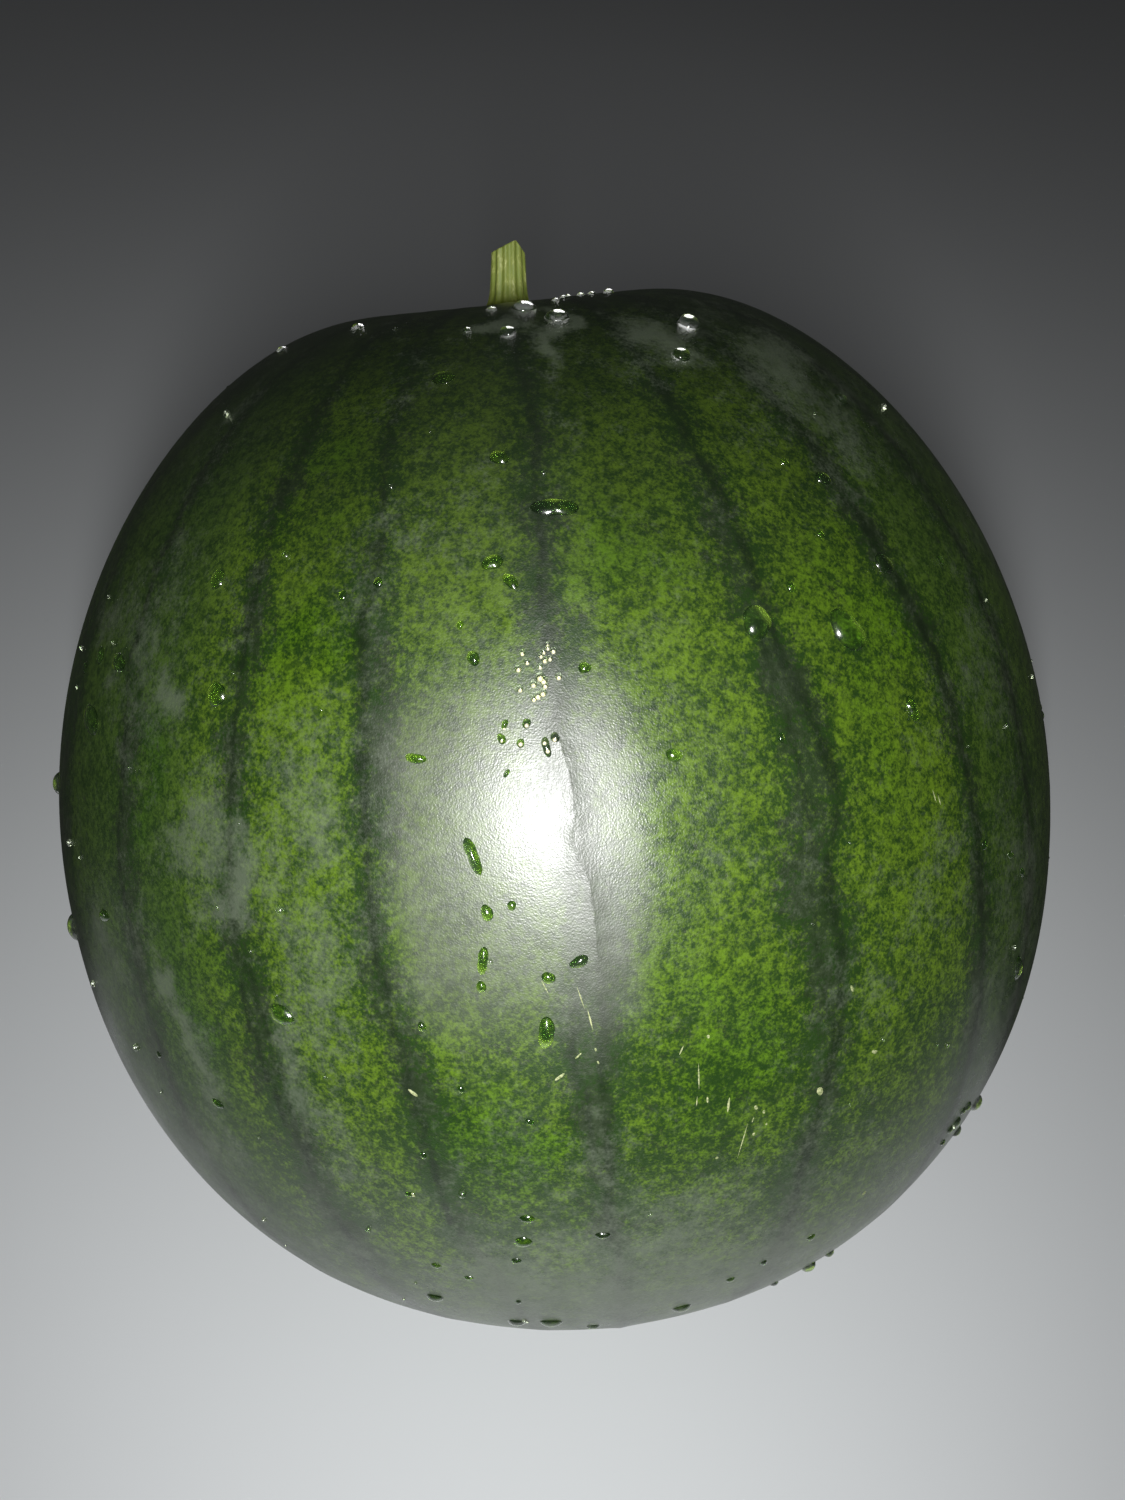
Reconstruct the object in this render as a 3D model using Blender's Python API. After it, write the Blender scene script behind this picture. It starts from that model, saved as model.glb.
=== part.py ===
"""Sugar baby watermelon: a small round fruit and the cut stub of its stem.

Metres, +Z up, the front towards -Y. The melon lies on a level surface and leans
back from the front. The origin is the centre of the flat spot that it rests on.

Both pieces are shaped in the fruit's own frame and then leaned into place. Its
origin is the middle of the widest section, its z runs out through the stem, and
its x points at the front meridian. Angles round the stem axis start there.
"""

import math

import bmesh
import bpy
from mathutils import Matrix, Vector

MM = 0.001

# The fruit's outline, as a section through the stem axis
GIRTH_RADIUS = 85.0 * MM
STEM_END = 95.5 * MM
BLOSSOM_END = 88.4 * MM
STEM_END_FULLNESS = 2.0
BLOSSOM_END_FULLNESS = 2.17

# How far its widest section is from a circle: one oval and one three-cornered wave
OVAL_SHARE, OVAL_AT = 0.014, math.radians(-48.7)
CORNER_SHARE, CORNER_AT = 0.0082, math.radians(40.0)

# The dish that the stem stands in, and the small scar where the flower was
STEM_DISH_DEPTH, STEM_DISH_RADIUS = 8.8 * MM, 26.8 * MM
SCAR_DEPTH, SCAR_RADIUS = 1.2 * MM, 7.0 * MM

# How it lies: the lean, where it leans to, and where the front meridian points
LEAN = math.radians(24.9)
LEAN_TOWARDS = math.radians(113.2)
FRONT_MERIDIAN = math.radians(-85.2)
FRUIT_CENTRE = Vector((-1.0, -1.2, 87.3)) * MM
CELLS_PER_FACE = 24
SNAP_TO_FLAT = 0.1 * MM

# The stem stub: its length is along its middle, from the dish to the cut's peak
STEM_LENGTH = 10.7 * MM
STEM_RADIUS, STEM_TAPER = 3.1 * MM, 0.14
FOOT_FLARE, FOOT_FLARE_HEIGHT = 0.9 * MM, 1.3 * MM
STEM_TILT = math.radians(5.8)
STEM_GAP = 0.3 * MM
RIBS, RIB_HEIGHT, RIB_AT = 13, 0.14 * MM, math.radians(-10.0)
POINTS_PER_RIB = 6
WALL_RINGS, FOOT_CROWDING = 9, 1.5

# The cut end: a long slope up from the left and a short steep one on the right
CUT_PEAK = 1.25 * MM
CUT_LEFT_SLOPE = math.tan(math.radians(26.0))
CUT_RIGHT_SLOPE = math.tan(math.radians(55.0))
CAP_RINGS = (0.8, 0.55, 0.28)


def empty_scene():
    """Removes what the scene holds."""
    for thing in list(bpy.data.objects):
        bpy.data.objects.remove(thing, do_unlink=True)


def placing():
    """The matrix from the fruit's own frame to where the melon lies."""
    towards = Matrix.Rotation(LEAN_TOWARDS, 4, "Z")
    tip = towards @ Matrix.Rotation(LEAN, 4, "Y") @ towards.inverted()
    return Matrix.Translation(FRUIT_CENTRE) @ tip @ Matrix.Rotation(FRONT_MERIDIAN, 4, "Z")


def finish(name, colour, roughness):
    """A plain material of the piece's own colour."""
    material = bpy.data.materials.new(name)
    material.use_nodes = True
    shader = material.node_tree.nodes["Principled BSDF"]
    shader.inputs["Base Color"].default_value = (*colour, 1.0)
    shader.inputs["Roughness"].default_value = roughness
    shader.inputs["Metallic"].default_value = 0.0
    return material


def dish_depth(off_axis):
    """How far the stem end is drawn in, at that distance from the axis."""
    return STEM_DISH_DEPTH * math.exp(-((off_axis / STEM_DISH_RADIUS) ** 2))


def scar_depth(off_axis):
    """How far the blossom end is drawn in, at that distance from the axis."""
    return SCAR_DEPTH * math.exp(-((off_axis / SCAR_RADIUS) ** 2))


def skin_point(direction):
    """The point of the fruit's skin in that direction from its centre."""
    across = math.hypot(direction.x, direction.y)
    turn = math.atan2(direction.y, direction.x)
    upper = direction.z > 0
    end = STEM_END if upper else BLOSSOM_END
    fullness = STEM_END_FULLNESS if upper else BLOSSOM_END_FULLNESS
    reach = (across / GIRTH_RADIUS) ** fullness + (abs(direction.z) / end) ** fullness
    oval = OVAL_SHARE * math.cos(2 * (turn - OVAL_AT))
    corners = CORNER_SHARE * math.cos(3 * (turn - CORNER_AT))
    point = direction * reach ** (-1 / fullness) * (1 + (oval + corners) * across**2)
    off_axis = math.hypot(point.x, point.y)
    point.z += -dish_depth(off_axis) if upper else scar_depth(off_axis)
    return point


def even_direction(corner):
    """A point of the 2 m cube as a direction, spaced by equal angles."""
    spread = [math.tan(value * math.pi / 4) for value in corner]
    return Vector(spread).normalized()


def press_flat(mesh, place):
    """Cuts the flat spot that the fruit rests on, level in the scene."""
    to_own = place.inverted()
    level = to_own.to_3x3() @ Vector((0, 0, -1))
    start = to_own @ Vector((0, 0, 0))
    for vertex in mesh.verts:
        above = (vertex.co - start).dot(-level)
        if abs(above) < SNAP_TO_FLAT:
            vertex.co += level * above
    everything = mesh.verts[:] + mesh.edges[:] + mesh.faces[:]
    bmesh.ops.bisect_plane(
        mesh, geom=everything, dist=1e-6, plane_co=start, plane_no=level, clear_outer=True
    )
    rim = [edge for edge in mesh.edges if edge.is_boundary]
    bmesh.ops.contextual_create(mesh, geom=rim)


def make_fruit(place):
    """The whole fruit as one solid, from a cube blown out to the skin."""
    mesh = bmesh.new()
    bmesh.ops.create_cube(mesh, size=2.0)
    bmesh.ops.subdivide_edges(
        mesh, edges=mesh.edges[:], cuts=CELLS_PER_FACE - 1, use_grid_fill=True
    )
    for vertex in mesh.verts:
        vertex.co = skin_point(even_direction(vertex.co))
    press_flat(mesh, place)
    return to_object("fruit", mesh, finish("rind", (0.052, 0.112, 0.028), 0.38))


def stem_radius(height, turn):
    """The stem's radius at a height over its foot, ribs included."""
    plain = STEM_RADIUS * (1 - STEM_TAPER * height / STEM_LENGTH)
    flare = FOOT_FLARE * math.exp(-height / FOOT_FLARE_HEIGHT)
    return plain + flare + RIB_HEIGHT * math.cos(RIBS * (turn - RIB_AT))


def cut_height(across):
    """The height of the cut end, at that distance to the picture's right."""
    left = STEM_LENGTH - CUT_LEFT_SLOPE * (CUT_PEAK - across)
    right = STEM_LENGTH - CUT_RIGHT_SLOPE * (across - CUT_PEAK)
    return min(left, right)


def stem_placing():
    """The matrix from the upright stem, foot at its origin, to the fruit's frame."""
    foot = Vector((0, 0, STEM_END - STEM_DISH_DEPTH + STEM_GAP))
    return Matrix.Translation(foot) @ Matrix.Rotation(-STEM_TILT, 4, "X")


def stem_ring(mesh, place, share, shrink=1.0):
    """One ring of the stem, at a share of its height and of its full radius."""
    count = RIBS * POINTS_PER_RIB
    ring = []
    for index in range(count):
        turn = math.tau * index / count
        radius = shrink * stem_radius(share * STEM_LENGTH, turn)
        across = radius * math.sin(turn)
        point = Vector((radius * math.cos(turn), across, share * cut_height(across)))
        ring.append(mesh.verts.new(place @ point))
    return ring


def join_rings(mesh, lower, upper):
    """A band of faces between two rings."""
    for index, start in enumerate(lower):
        after = (index + 1) % len(lower)
        mesh.faces.new((start, lower[after], upper[after], upper[index]))


def close_ring(mesh, ring, middle):
    """A fan of faces from a ring to its middle point."""
    for index, start in enumerate(ring):
        mesh.faces.new((start, ring[(index + 1) % len(ring)], middle))


def sit_on_dish(point):
    """Moves a point of the foot's underside to the gap above the dish."""
    direction = Vector((point.co.x, point.co.y, STEM_END)).normalized()
    point.co.z = skin_point(direction).z + STEM_GAP


def make_stem():
    """The ribbed stub, flared where it leaves the fruit and cut on a slant."""
    mesh = bmesh.new()
    place = stem_placing()
    shares = [(step / WALL_RINGS) ** FOOT_CROWDING for step in range(WALL_RINGS + 1)]
    rings = [stem_ring(mesh, place, share) for share in shares]
    rings += [stem_ring(mesh, place, 1.0, shrink) for shrink in CAP_RINGS]
    for lower, upper in zip(rings, rings[1:]):
        join_rings(mesh, lower, upper)
    close_ring(mesh, rings[-1], mesh.verts.new(place @ Vector((0, 0, cut_height(0)))))
    under = mesh.verts.new(place.translation)
    close_ring(mesh, rings[0], under)
    for point in [*rings[0], under]:
        sit_on_dish(point)
    bmesh.ops.recalc_face_normals(mesh, faces=mesh.faces[:])
    return to_object("stem", mesh, finish("stem skin", (0.29, 0.33, 0.11), 0.55))


def to_object(name, mesh, material):
    """A shaded object from a finished mesh."""
    data = bpy.data.meshes.new(name)
    mesh.to_mesh(data)
    mesh.free()
    data.materials.append(material)
    data.shade_smooth()
    data.set_sharp_from_angle(angle=math.radians(40))
    made = bpy.data.objects.new(name, data)
    bpy.context.collection.objects.link(made)
    return made


def main():
    """Builds the fruit and its stem, and leans both into place on one empty."""
    empty_scene()
    place = placing()
    melon = bpy.data.objects.new("melon", None)
    bpy.context.collection.objects.link(melon)
    melon.matrix_world = place
    for piece in (make_fruit(place), make_stem()):
        piece.parent = melon


main()
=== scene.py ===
"""A small round watermelon with dark stripes, a cut stem stub and water on its skin.

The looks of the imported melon: its skin, its stem, the water drops and the dry scuffs,
with a floor, soft lights and a camera. Metres, +Z up, the front towards -Y.

Places on the skin are given by longitude, 0 on the front meridian and growing to the
picture's right, and by colatitude, 0 at the stem and 180 at the blossom end, both in
degrees. The melon's own frame has its z through the stem and its x at longitude 0.
"""

import logging
import math
import random
from dataclasses import dataclass, fields, replace
from enum import Enum
from typing import Any, Callable, Sequence, TypeAlias, Union

import bpy
import numpy as np
from mathutils import Matrix, Vector, noise
from mathutils.bvhtree import BVHTree


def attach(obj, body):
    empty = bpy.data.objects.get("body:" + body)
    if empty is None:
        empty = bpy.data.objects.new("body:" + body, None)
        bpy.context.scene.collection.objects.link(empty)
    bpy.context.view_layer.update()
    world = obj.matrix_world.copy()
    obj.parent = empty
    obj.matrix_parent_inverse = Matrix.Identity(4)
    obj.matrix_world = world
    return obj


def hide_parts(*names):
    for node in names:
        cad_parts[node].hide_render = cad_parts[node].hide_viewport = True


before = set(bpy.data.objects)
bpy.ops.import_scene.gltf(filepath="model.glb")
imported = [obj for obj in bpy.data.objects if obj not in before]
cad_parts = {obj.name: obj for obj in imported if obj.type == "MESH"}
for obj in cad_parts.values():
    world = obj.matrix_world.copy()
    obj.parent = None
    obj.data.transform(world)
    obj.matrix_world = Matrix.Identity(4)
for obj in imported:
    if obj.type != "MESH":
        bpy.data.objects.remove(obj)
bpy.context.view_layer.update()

MM = 0.001
BODY = "root"
LOG = logging.getLogger("melon")

Number: TypeAlias = Union[float, np.ndarray, "Value"]
Course: TypeAlias = tuple[tuple[float, ...], ...]


def tint(red: int, green: int, blue: int) -> tuple[float, float, float, float]:
    """A screen colour, 0 to 255 a channel, as the linear colour that nodes take."""
    shares = (channel / 255 for channel in (red, green, blue))
    linear = [s / 12.92 if s <= 0.04045 else ((s + 0.055) / 1.055) ** 2.4 for s in shares]
    return (*linear, 1.0)


class Value:
    """A number socket of a node tree. Arithmetic on it adds Math nodes."""

    def __init__(self, tree: "Tree", socket: bpy.types.NodeSocket) -> None:
        """Keeps the socket and the tree that it belongs to."""
        self.tree = tree
        self.socket = socket

    def __add__(self, other: Number) -> "Value":
        """This value plus another."""
        return self.tree.maths("ADD", self, other)

    def __radd__(self, other: Number) -> "Value":
        """Another value plus this one."""
        return self.tree.maths("ADD", other, self)

    def __sub__(self, other: Number) -> "Value":
        """This value minus another."""
        return self.tree.maths("SUBTRACT", self, other)

    def __rsub__(self, other: Number) -> "Value":
        """Another value minus this one."""
        return self.tree.maths("SUBTRACT", other, self)

    def __mul__(self, other: Number) -> "Value":
        """This value times another."""
        return self.tree.maths("MULTIPLY", self, other)

    def __rmul__(self, other: Number) -> "Value":
        """Another value times this one."""
        return self.tree.maths("MULTIPLY", other, self)

    def __truediv__(self, other: Number) -> "Value":
        """This value over another."""
        return self.tree.maths("DIVIDE", self, other)

    def __rtruediv__(self, other: Number) -> "Value":
        """Another value over this one."""
        return self.tree.maths("DIVIDE", other, self)

    def __pow__(self, other: Number) -> "Value":
        """This value to the power of another."""
        return self.tree.maths("POWER", self, other)

    def __neg__(self) -> "Value":
        """This value with its sign turned."""
        return self.tree.maths("MULTIPLY", self, -1.0)

    def __gt__(self, other: Number) -> "Value":
        """1 where this value is the greater one, else 0."""
        return self.tree.maths("GREATER_THAN", self, other)


class Tree:
    """A node tree under construction, of a material or of Geometry Nodes.

    It offers numpy's names for the functions that the skin's formula calls, so the
    same formula runs on arrays and on sockets.
    """

    def __init__(self, nodes: bpy.types.NodeTree) -> None:
        """Keeps the tree that the nodes go into."""
        self.nodes = nodes

    def node(
        self,
        kind: str,
        settings: dict[str, Any] | None = None,
        inputs: dict[str | int, Any] | None = None,
    ) -> bpy.types.Node:
        """Adds a node.

        Args:
            kind: The node's type.
            settings: Its settings by name, or a ramp's stops as position and colour.
            inputs: Numbers, colours, sockets or values for its sockets, by name or index.

        Returns:
            The node.
        """
        made = self.nodes.nodes.new(kind)
        for name, value in (settings or {}).items():
            if name == "stops":
                self._set_stops(made.color_ramp, value)
            else:
                setattr(made, name, value)
        for name, value in (inputs or {}).items():
            self._feed(made.inputs[name], value)
        return made

    def _feed(self, socket: bpy.types.NodeSocket, value: Any) -> None:
        """Gives a socket its link or its constant."""
        if isinstance(value, Value):
            value = value.socket
        if isinstance(value, bpy.types.NodeSocket):
            self.nodes.links.new(value, socket)
        else:
            socket.default_value = value

    def _set_stops(self, ramp: bpy.types.ColorRamp, stops: Sequence[tuple]) -> None:
        """Puts the stops on a colour ramp that has two to begin with."""
        while len(ramp.elements) < len(stops):
            ramp.elements.new(0.5)
        for element, (position, colour) in zip(ramp.elements, stops):
            element.position = position
            element.color = colour

    def maths(self, operation: str, *values: Number) -> Value:
        """One Math node on up to three values."""
        made = self.node("ShaderNodeMath", {"operation": operation}, dict(enumerate(values)))
        return Value(self, made.outputs[0])

    def vector(self, operation: str, *values: Any) -> bpy.types.NodeSocket:
        """One Vector Math node that gives a vector."""
        made = self.node("ShaderNodeVectorMath", {"operation": operation}, dict(enumerate(values)))
        return made.outputs[0]

    def hypot(self, a: Value, b: Value) -> Value:
        """The length of a right-angled pair."""
        return self.sqrt(a * a + b * b)

    def sqrt(self, value: Value) -> Value:
        """The square root."""
        return self.maths("SQRT", value)

    def exp(self, value: Value) -> Value:
        """The exponential."""
        return self.maths("EXPONENT", value)

    def cos(self, value: Value) -> Value:
        """The cosine of an angle in radians."""
        return self.maths("COSINE", value)

    def tan(self, value: Value) -> Value:
        """The tangent of an angle in radians."""
        return self.maths("TANGENT", value)

    def abs(self, value: Value) -> Value:
        """The size of a value without its sign."""
        return self.maths("ABSOLUTE", value)

    def arctan2(self, y: Value, x: Value) -> Value:
        """The angle of a point round the origin, in radians."""
        return self.maths("ARCTAN2", y, x)

    def maximum(self, a: Number, b: Number) -> Value:
        """The greater of two values."""
        return self.maths("MAXIMUM", a, b)

    def where(self, mask: Value, a: Number, b: Number) -> Value:
        """The first value where the mask is 1, else the second."""
        return b + (a - b) * mask

    def ramp(self, value: Value, low: float, high: float) -> Value:
        """A soft step from 0 at low to 1 at high.

        Args:
            value: What is stepped.
            low: Where the step starts. It may be above high, to turn the step round.
            high: Where the step ends.

        Returns:
            The stepped value.
        """
        made = self.node(
            "ShaderNodeMapRange",
            {"interpolation_type": "SMOOTHSTEP"},
            {"Value": value, "From Min": min(low, high), "From Max": max(low, high)},
        )
        step = Value(self, made.outputs[0])
        return step if low < high else 1.0 - step

    def split(self, vector: bpy.types.NodeSocket) -> tuple[Value, Value, Value]:
        """The three numbers of a vector."""
        made = self.node("ShaderNodeSeparateXYZ", {}, {0: vector})
        return tuple(Value(self, output) for output in made.outputs)

    def join(self, x: Number, y: Number, z: Number) -> bpy.types.NodeSocket:
        """A vector of three numbers."""
        return self.node("ShaderNodeCombineXYZ", {}, {0: x, 1: y, 2: z}).outputs[0]


class Paint(Tree):
    """The node tree of one material, with the patterns that the finishes share."""

    def __init__(self, name: str) -> None:
        """Starts a material with a Principled shader and the Object coordinates."""
        self.material = bpy.data.materials.new(name)
        self.material.use_nodes = True
        super().__init__(self.material.node_tree)
        self.shader = self.nodes.nodes["Principled BSDF"]
        self.place = self.node("ShaderNodeTexCoord").outputs["Object"]

    def attribute(self, name: str) -> Value:
        """A number that the mesh carries on its points."""
        made = self.node("ShaderNodeAttribute", {"attribute_name": name})
        return Value(self, made.outputs["Fac"])

    def way(self) -> tuple[Value, Value, Value]:
        """The direction from the melon's middle, in its own frame."""
        made = self.node("ShaderNodeAttribute", {"attribute_name": "way"})
        return self.split(made.outputs["Vector"])

    def grain(
        self,
        size: float,
        detail: float = 2.0,
        roughness: float = 0.5,
        shift: float = 0.0,
        place: bpy.types.NodeSocket | None = None,
    ) -> Value:
        """Soft random blotches, mostly between 0.3 and 0.7.

        Args:
            size: The spacing of the noise, in metres.
            detail: How many finer layers it has.
            roughness: How strong the finer layers are.
            shift: Metres that the pattern is moved by, to tell two of one size apart.
            place: Other coordinates than the object's own.

        Returns:
            The noise.
        """
        place = place or self.place
        if shift:
            place = self.vector("ADD", place, (shift, shift, shift))
        made = self.node(
            "ShaderNodeTexNoise",
            {},
            {"Vector": place, "Scale": 1 / size, "Detail": detail, "Roughness": roughness},
        )
        return Value(self, made.outputs["Fac"])

    def mix(self, share: Number, first: Any, second: Any, blend: str = "MIX") -> bpy.types.NodeSocket:
        """A colour between two.

        Args:
            share: 0 for the first colour, 1 for the second.
            first: A colour or a colour socket.
            second: A colour or a colour socket.
            blend: How the second goes over the first.

        Returns:
            The mixed colour.
        """
        made = self.node(
            "ShaderNodeMix",
            {"data_type": "RGBA", "blend_type": blend, "clamp_factor": True},
            {0: share, 6: first, 7: second},
        )
        return made.outputs[2]

    def bump(self, height: Value, strength: float = 1.0) -> bpy.types.NodeSocket:
        """A normal bent by a height in metres."""
        made = self.node("ShaderNodeBump", {}, {"Strength": strength, "Distance": 1.0, "Height": height})
        return made.outputs[0]

    def set(self, **inputs: Any) -> None:
        """Gives the Principled shader its values, by socket name with _ for a space."""
        for name, value in inputs.items():
            self._feed(self.shader.inputs[name.replace("_", " ")], value)


class Grower(Tree):
    """A Geometry Nodes tree with named inputs, run once to give a plain mesh."""

    def __init__(self, name: str) -> None:
        """Starts an empty tree that gives one geometry."""
        super().__init__(bpy.data.node_groups.new(name, "GeometryNodeTree"))
        self.name = name
        self.given: dict[str, Any] = {}
        self.nodes.interface.new_socket("Geometry", in_out="OUTPUT", socket_type="NodeSocketGeometry")
        self.nodes.interface.new_socket("Geometry", in_out="INPUT", socket_type="NodeSocketGeometry")
        self.entry = self.nodes.nodes.new("NodeGroupInput")

    def ask(self, name: str, value: Any, kind: str = "Float") -> Value:
        """Adds a named input.

        Args:
            name: The input's name.
            value: What the modifier gives it.
            kind: The end of its socket's type, such as Float, Int or Material.

        Returns:
            The input as a value.
        """
        made = self.nodes.interface.new_socket(
            name, in_out="INPUT", socket_type=f"NodeSocket{kind}"
        )
        self.given[made.identifier] = value
        return Value(self, self.entry.outputs[name])

    def start(self) -> bpy.types.NodeSocket:
        """The geometry that the modifier's own object brings."""
        return self.entry.outputs["Geometry"]

    def grow(
        self,
        geometry: bpy.types.NodeSocket,
        finish: bpy.types.Material,
        ground: bpy.types.Mesh | None = None,
    ) -> bpy.types.Object:
        """Ends the tree, runs it and keeps its result as a plain mesh.

        Args:
            geometry: What the tree has made.
            finish: The material for all of it.
            ground: The mesh that the tree starts from, if it needs one.

        Returns:
            The finished object, without the modifier.
        """
        material = self.ask("Finish", finish, "Material")
        real = self.node("GeometryNodeRealizeInstances", {}, {0: geometry}).outputs[0]
        dressed = self.node(
            "GeometryNodeSetMaterial", {}, {"Geometry": real, "Material": material}
        ).outputs[0]
        self.node("NodeGroupOutput", {}, {0: dressed})
        made = bpy.data.objects.new(self.name, ground or bpy.data.meshes.new(self.name))
        bpy.context.scene.collection.objects.link(made)
        modifier = made.modifiers.new(self.name, "NODES")
        modifier.node_group = self.nodes
        for identifier, value in self.given.items():
            modifier[identifier] = value
        graph = bpy.context.evaluated_depsgraph_get()
        mesh = bpy.data.meshes.new_from_object(
            made.evaluated_get(graph), preserve_all_data_layers=True, depsgraph=graph
        )
        made.modifiers.remove(modifier)
        made.data = mesh
        return made


@dataclass(frozen=True)
class Skin:
    """The outline of the fruit and how it lies, as the solid has them."""

    girth_radius: Number = 85.0 * MM
    stem_end: Number = 95.5 * MM
    blossom_end: Number = 88.4 * MM
    stem_end_fullness: Number = 2.0
    blossom_end_fullness: Number = 2.17
    oval_share: Number = 0.014
    oval_at: Number = math.radians(-48.7)
    corner_share: Number = 0.0082
    corner_at: Number = math.radians(40.0)
    dish_depth: Number = 8.8 * MM
    dish_radius: Number = 26.8 * MM
    scar_depth: Number = 1.2 * MM
    scar_radius: Number = 7.0 * MM
    lean: Number = math.radians(24.9)
    lean_towards: Number = math.radians(113.2)
    front_meridian: Number = math.radians(-85.2)
    centre_x: Number = -1.0 * MM
    centre_y: Number = -1.2 * MM
    centre_z: Number = 87.3 * MM

    def point(self, way: Sequence[Number], kit: Any) -> tuple[Number, Number, Number]:
        """The skin's point in a direction, in the melon's own frame.

        Args:
            way: The direction, of length 1.
            kit: numpy for arrays, or the tree that the values belong to.

        Returns:
            The point's three coordinates.
        """
        x, y, z = way
        across = kit.hypot(x, y)
        turn = kit.arctan2(y, x)
        upper = z > 0
        end = kit.where(upper, self.stem_end, self.blossom_end)
        fullness = kit.where(upper, self.stem_end_fullness, self.blossom_end_fullness)
        reach = (across / self.girth_radius) ** fullness + (kit.abs(z) / end) ** fullness
        oval = self.oval_share * kit.cos(2 * (turn - self.oval_at))
        corners = self.corner_share * kit.cos(3 * (turn - self.corner_at))
        swell = reach ** (-1 / fullness) * (1 + (oval + corners) * across * across)
        off_axis = across * swell
        dish = self.dish_depth * kit.exp(-((off_axis / self.dish_radius) ** 2))
        scar = self.scar_depth * kit.exp(-((off_axis / self.scar_radius) ** 2))
        return x * swell, y * swell, z * swell + kit.where(upper, -dish, scar)

    def placing(self) -> Matrix:
        """The matrix from the melon's own frame to where it lies."""
        towards = Matrix.Rotation(self.lean_towards, 4, "Z")
        tip = towards @ Matrix.Rotation(self.lean, 4, "Y") @ towards.inverted()
        centre = Vector((self.centre_x, self.centre_y, self.centre_z))
        return Matrix.Translation(centre) @ tip @ Matrix.Rotation(self.front_meridian, 4, "Z")

    def at(self, longitude: float, colatitude: float) -> Vector:
        """The skin's point at a longitude and a colatitude, where it lies."""
        lon = math.radians(longitude)
        col = math.radians(colatitude)
        way = (math.sin(col) * math.cos(lon), math.sin(col) * math.sin(lon), math.cos(col))
        own = self.point([np.float64(part) for part in way], np)
        return self.placing() @ Vector([float(part) for part in own])

    def ways(self, places: np.ndarray) -> np.ndarray:
        """The directions from the melon's middle that lead to places on its skin.

        Args:
            places: Points where the melon lies, one a row.

        Returns:
            The directions in the melon's own frame, one a row.
        """
        back = np.array(self.placing().inverted())
        own = places @ back[:3, :3].T + back[:3, 3]
        off_axis = np.hypot(own[:, 0], own[:, 1])
        dish = self.dish_depth * np.exp(-((off_axis / self.dish_radius) ** 2))
        scar = self.scar_depth * np.exp(-((off_axis / self.scar_radius) ** 2))
        own[:, 2] += np.where(own[:, 2] > 0, dish, -scar)
        return own / np.linalg.norm(own, axis=1, keepdims=True)


def smooth_course(course: Course, column: int, at: np.ndarray) -> np.ndarray:
    """Reads one column of a course, with its corners rounded off.

    Args:
        course: Rows of a colatitude and what holds there, in degrees, downwards.
        column: Which column is read.
        at: The colatitudes that are asked for.

    Returns:
        The column's values there.
    """
    rows = np.array(course)
    steps = np.linspace(-20.0, 200.0, 441)
    reading = np.interp(steps, rows[:, 0], rows[:, column])
    reach = np.arange(-6, 7)
    weights = np.exp(-((reach / 2.6) ** 2))
    smooth = np.convolve(np.pad(reading, 6, mode="edge"), weights / weights.sum(), "valid")
    return np.interp(at, steps, smooth)


def soft_step(value: np.ndarray, low: float, high: float) -> np.ndarray:
    """A soft step from 0 at low to 1 at high, on an array."""
    share = np.clip((value - low) / (high - low), 0.0, 1.0)
    return share * share * (3 - 2 * share)


def keep(mesh: bpy.types.Mesh, name: str, values: np.ndarray) -> None:
    """Keeps one number for each point of a mesh, under a name that a material reads."""
    layer = mesh.attributes.new(name, "FLOAT", "POINT")
    layer.data.foreach_set("value", values.astype(np.float32))


@dataclass(frozen=True)
class Map:
    """Where each point of a mesh lies on the melon, with the wander of its markings."""

    longitude: np.ndarray
    colatitude: np.ndarray
    across: np.ndarray
    stray: np.ndarray
    drift: np.ndarray

    @classmethod
    def of(cls, ways: np.ndarray, girth: float) -> "Map":
        """Works out where points lie, with a small stray so that no stripe is ruled.

        Args:
            ways: The points' directions in the melon's own frame, one a row.
            girth: The melon's radius at its widest.

        Returns:
            The map.
        """
        points = [Vector(way) for way in ways]
        wander = [
            noise.noise(point * 9.0) + 0.5 * noise.noise(point * 24.0) + 0.3 * noise.noise(point * 45.0)
            for point in points
        ]
        drift = [
            noise.noise_vector(point * 6.0) + 0.6 * noise.noise_vector(point * 14.0) for point in points
        ]
        return cls(
            np.degrees(np.arctan2(ways[:, 1], ways[:, 0])),
            np.degrees(np.arccos(np.clip(ways[:, 2], -1, 1))),
            np.hypot(ways[:, 0], ways[:, 1]) * girth,
            0.75 * np.array(wander),
            9.0 * np.array(drift),
        )

    def aside(self, longitude: Number) -> np.ndarray:
        """Millimetres round the melon from a longitude, growing to the right."""
        turn = (self.longitude - longitude + 180.0) % 360.0 - 180.0
        return np.radians(turn + self.stray) * self.across / MM

    def near(self, longitude: float, colatitude: float) -> tuple[np.ndarray, np.ndarray]:
        """Millimetres round and down the melon from a place, both drifting like a cloud's."""
        turn = (self.longitude - longitude + 180.0) % 360.0 - 180.0
        wide = np.radians(turn) * self.across / MM + self.drift[:, 0]
        tall = np.radians(self.colatitude - colatitude) * 92.0 + self.drift[:, 1]
        return wide, tall


@dataclass(frozen=True)
class Band:
    """A grey-green stripe between two longitudes, with ragged edges."""

    course: Course
    strength: float = 1.0
    softness: float = 3.0

    def cover(self, where: Map) -> np.ndarray:
        """How much of the band each point has, 0 to 1."""
        west = where.aside(smooth_course(self.course, 1, where.colatitude))
        east = where.aside(smooth_course(self.course, 2, where.colatitude))
        inside = np.minimum(west, -east)
        return self.strength * soft_step(inside, -self.softness, self.softness)


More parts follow.
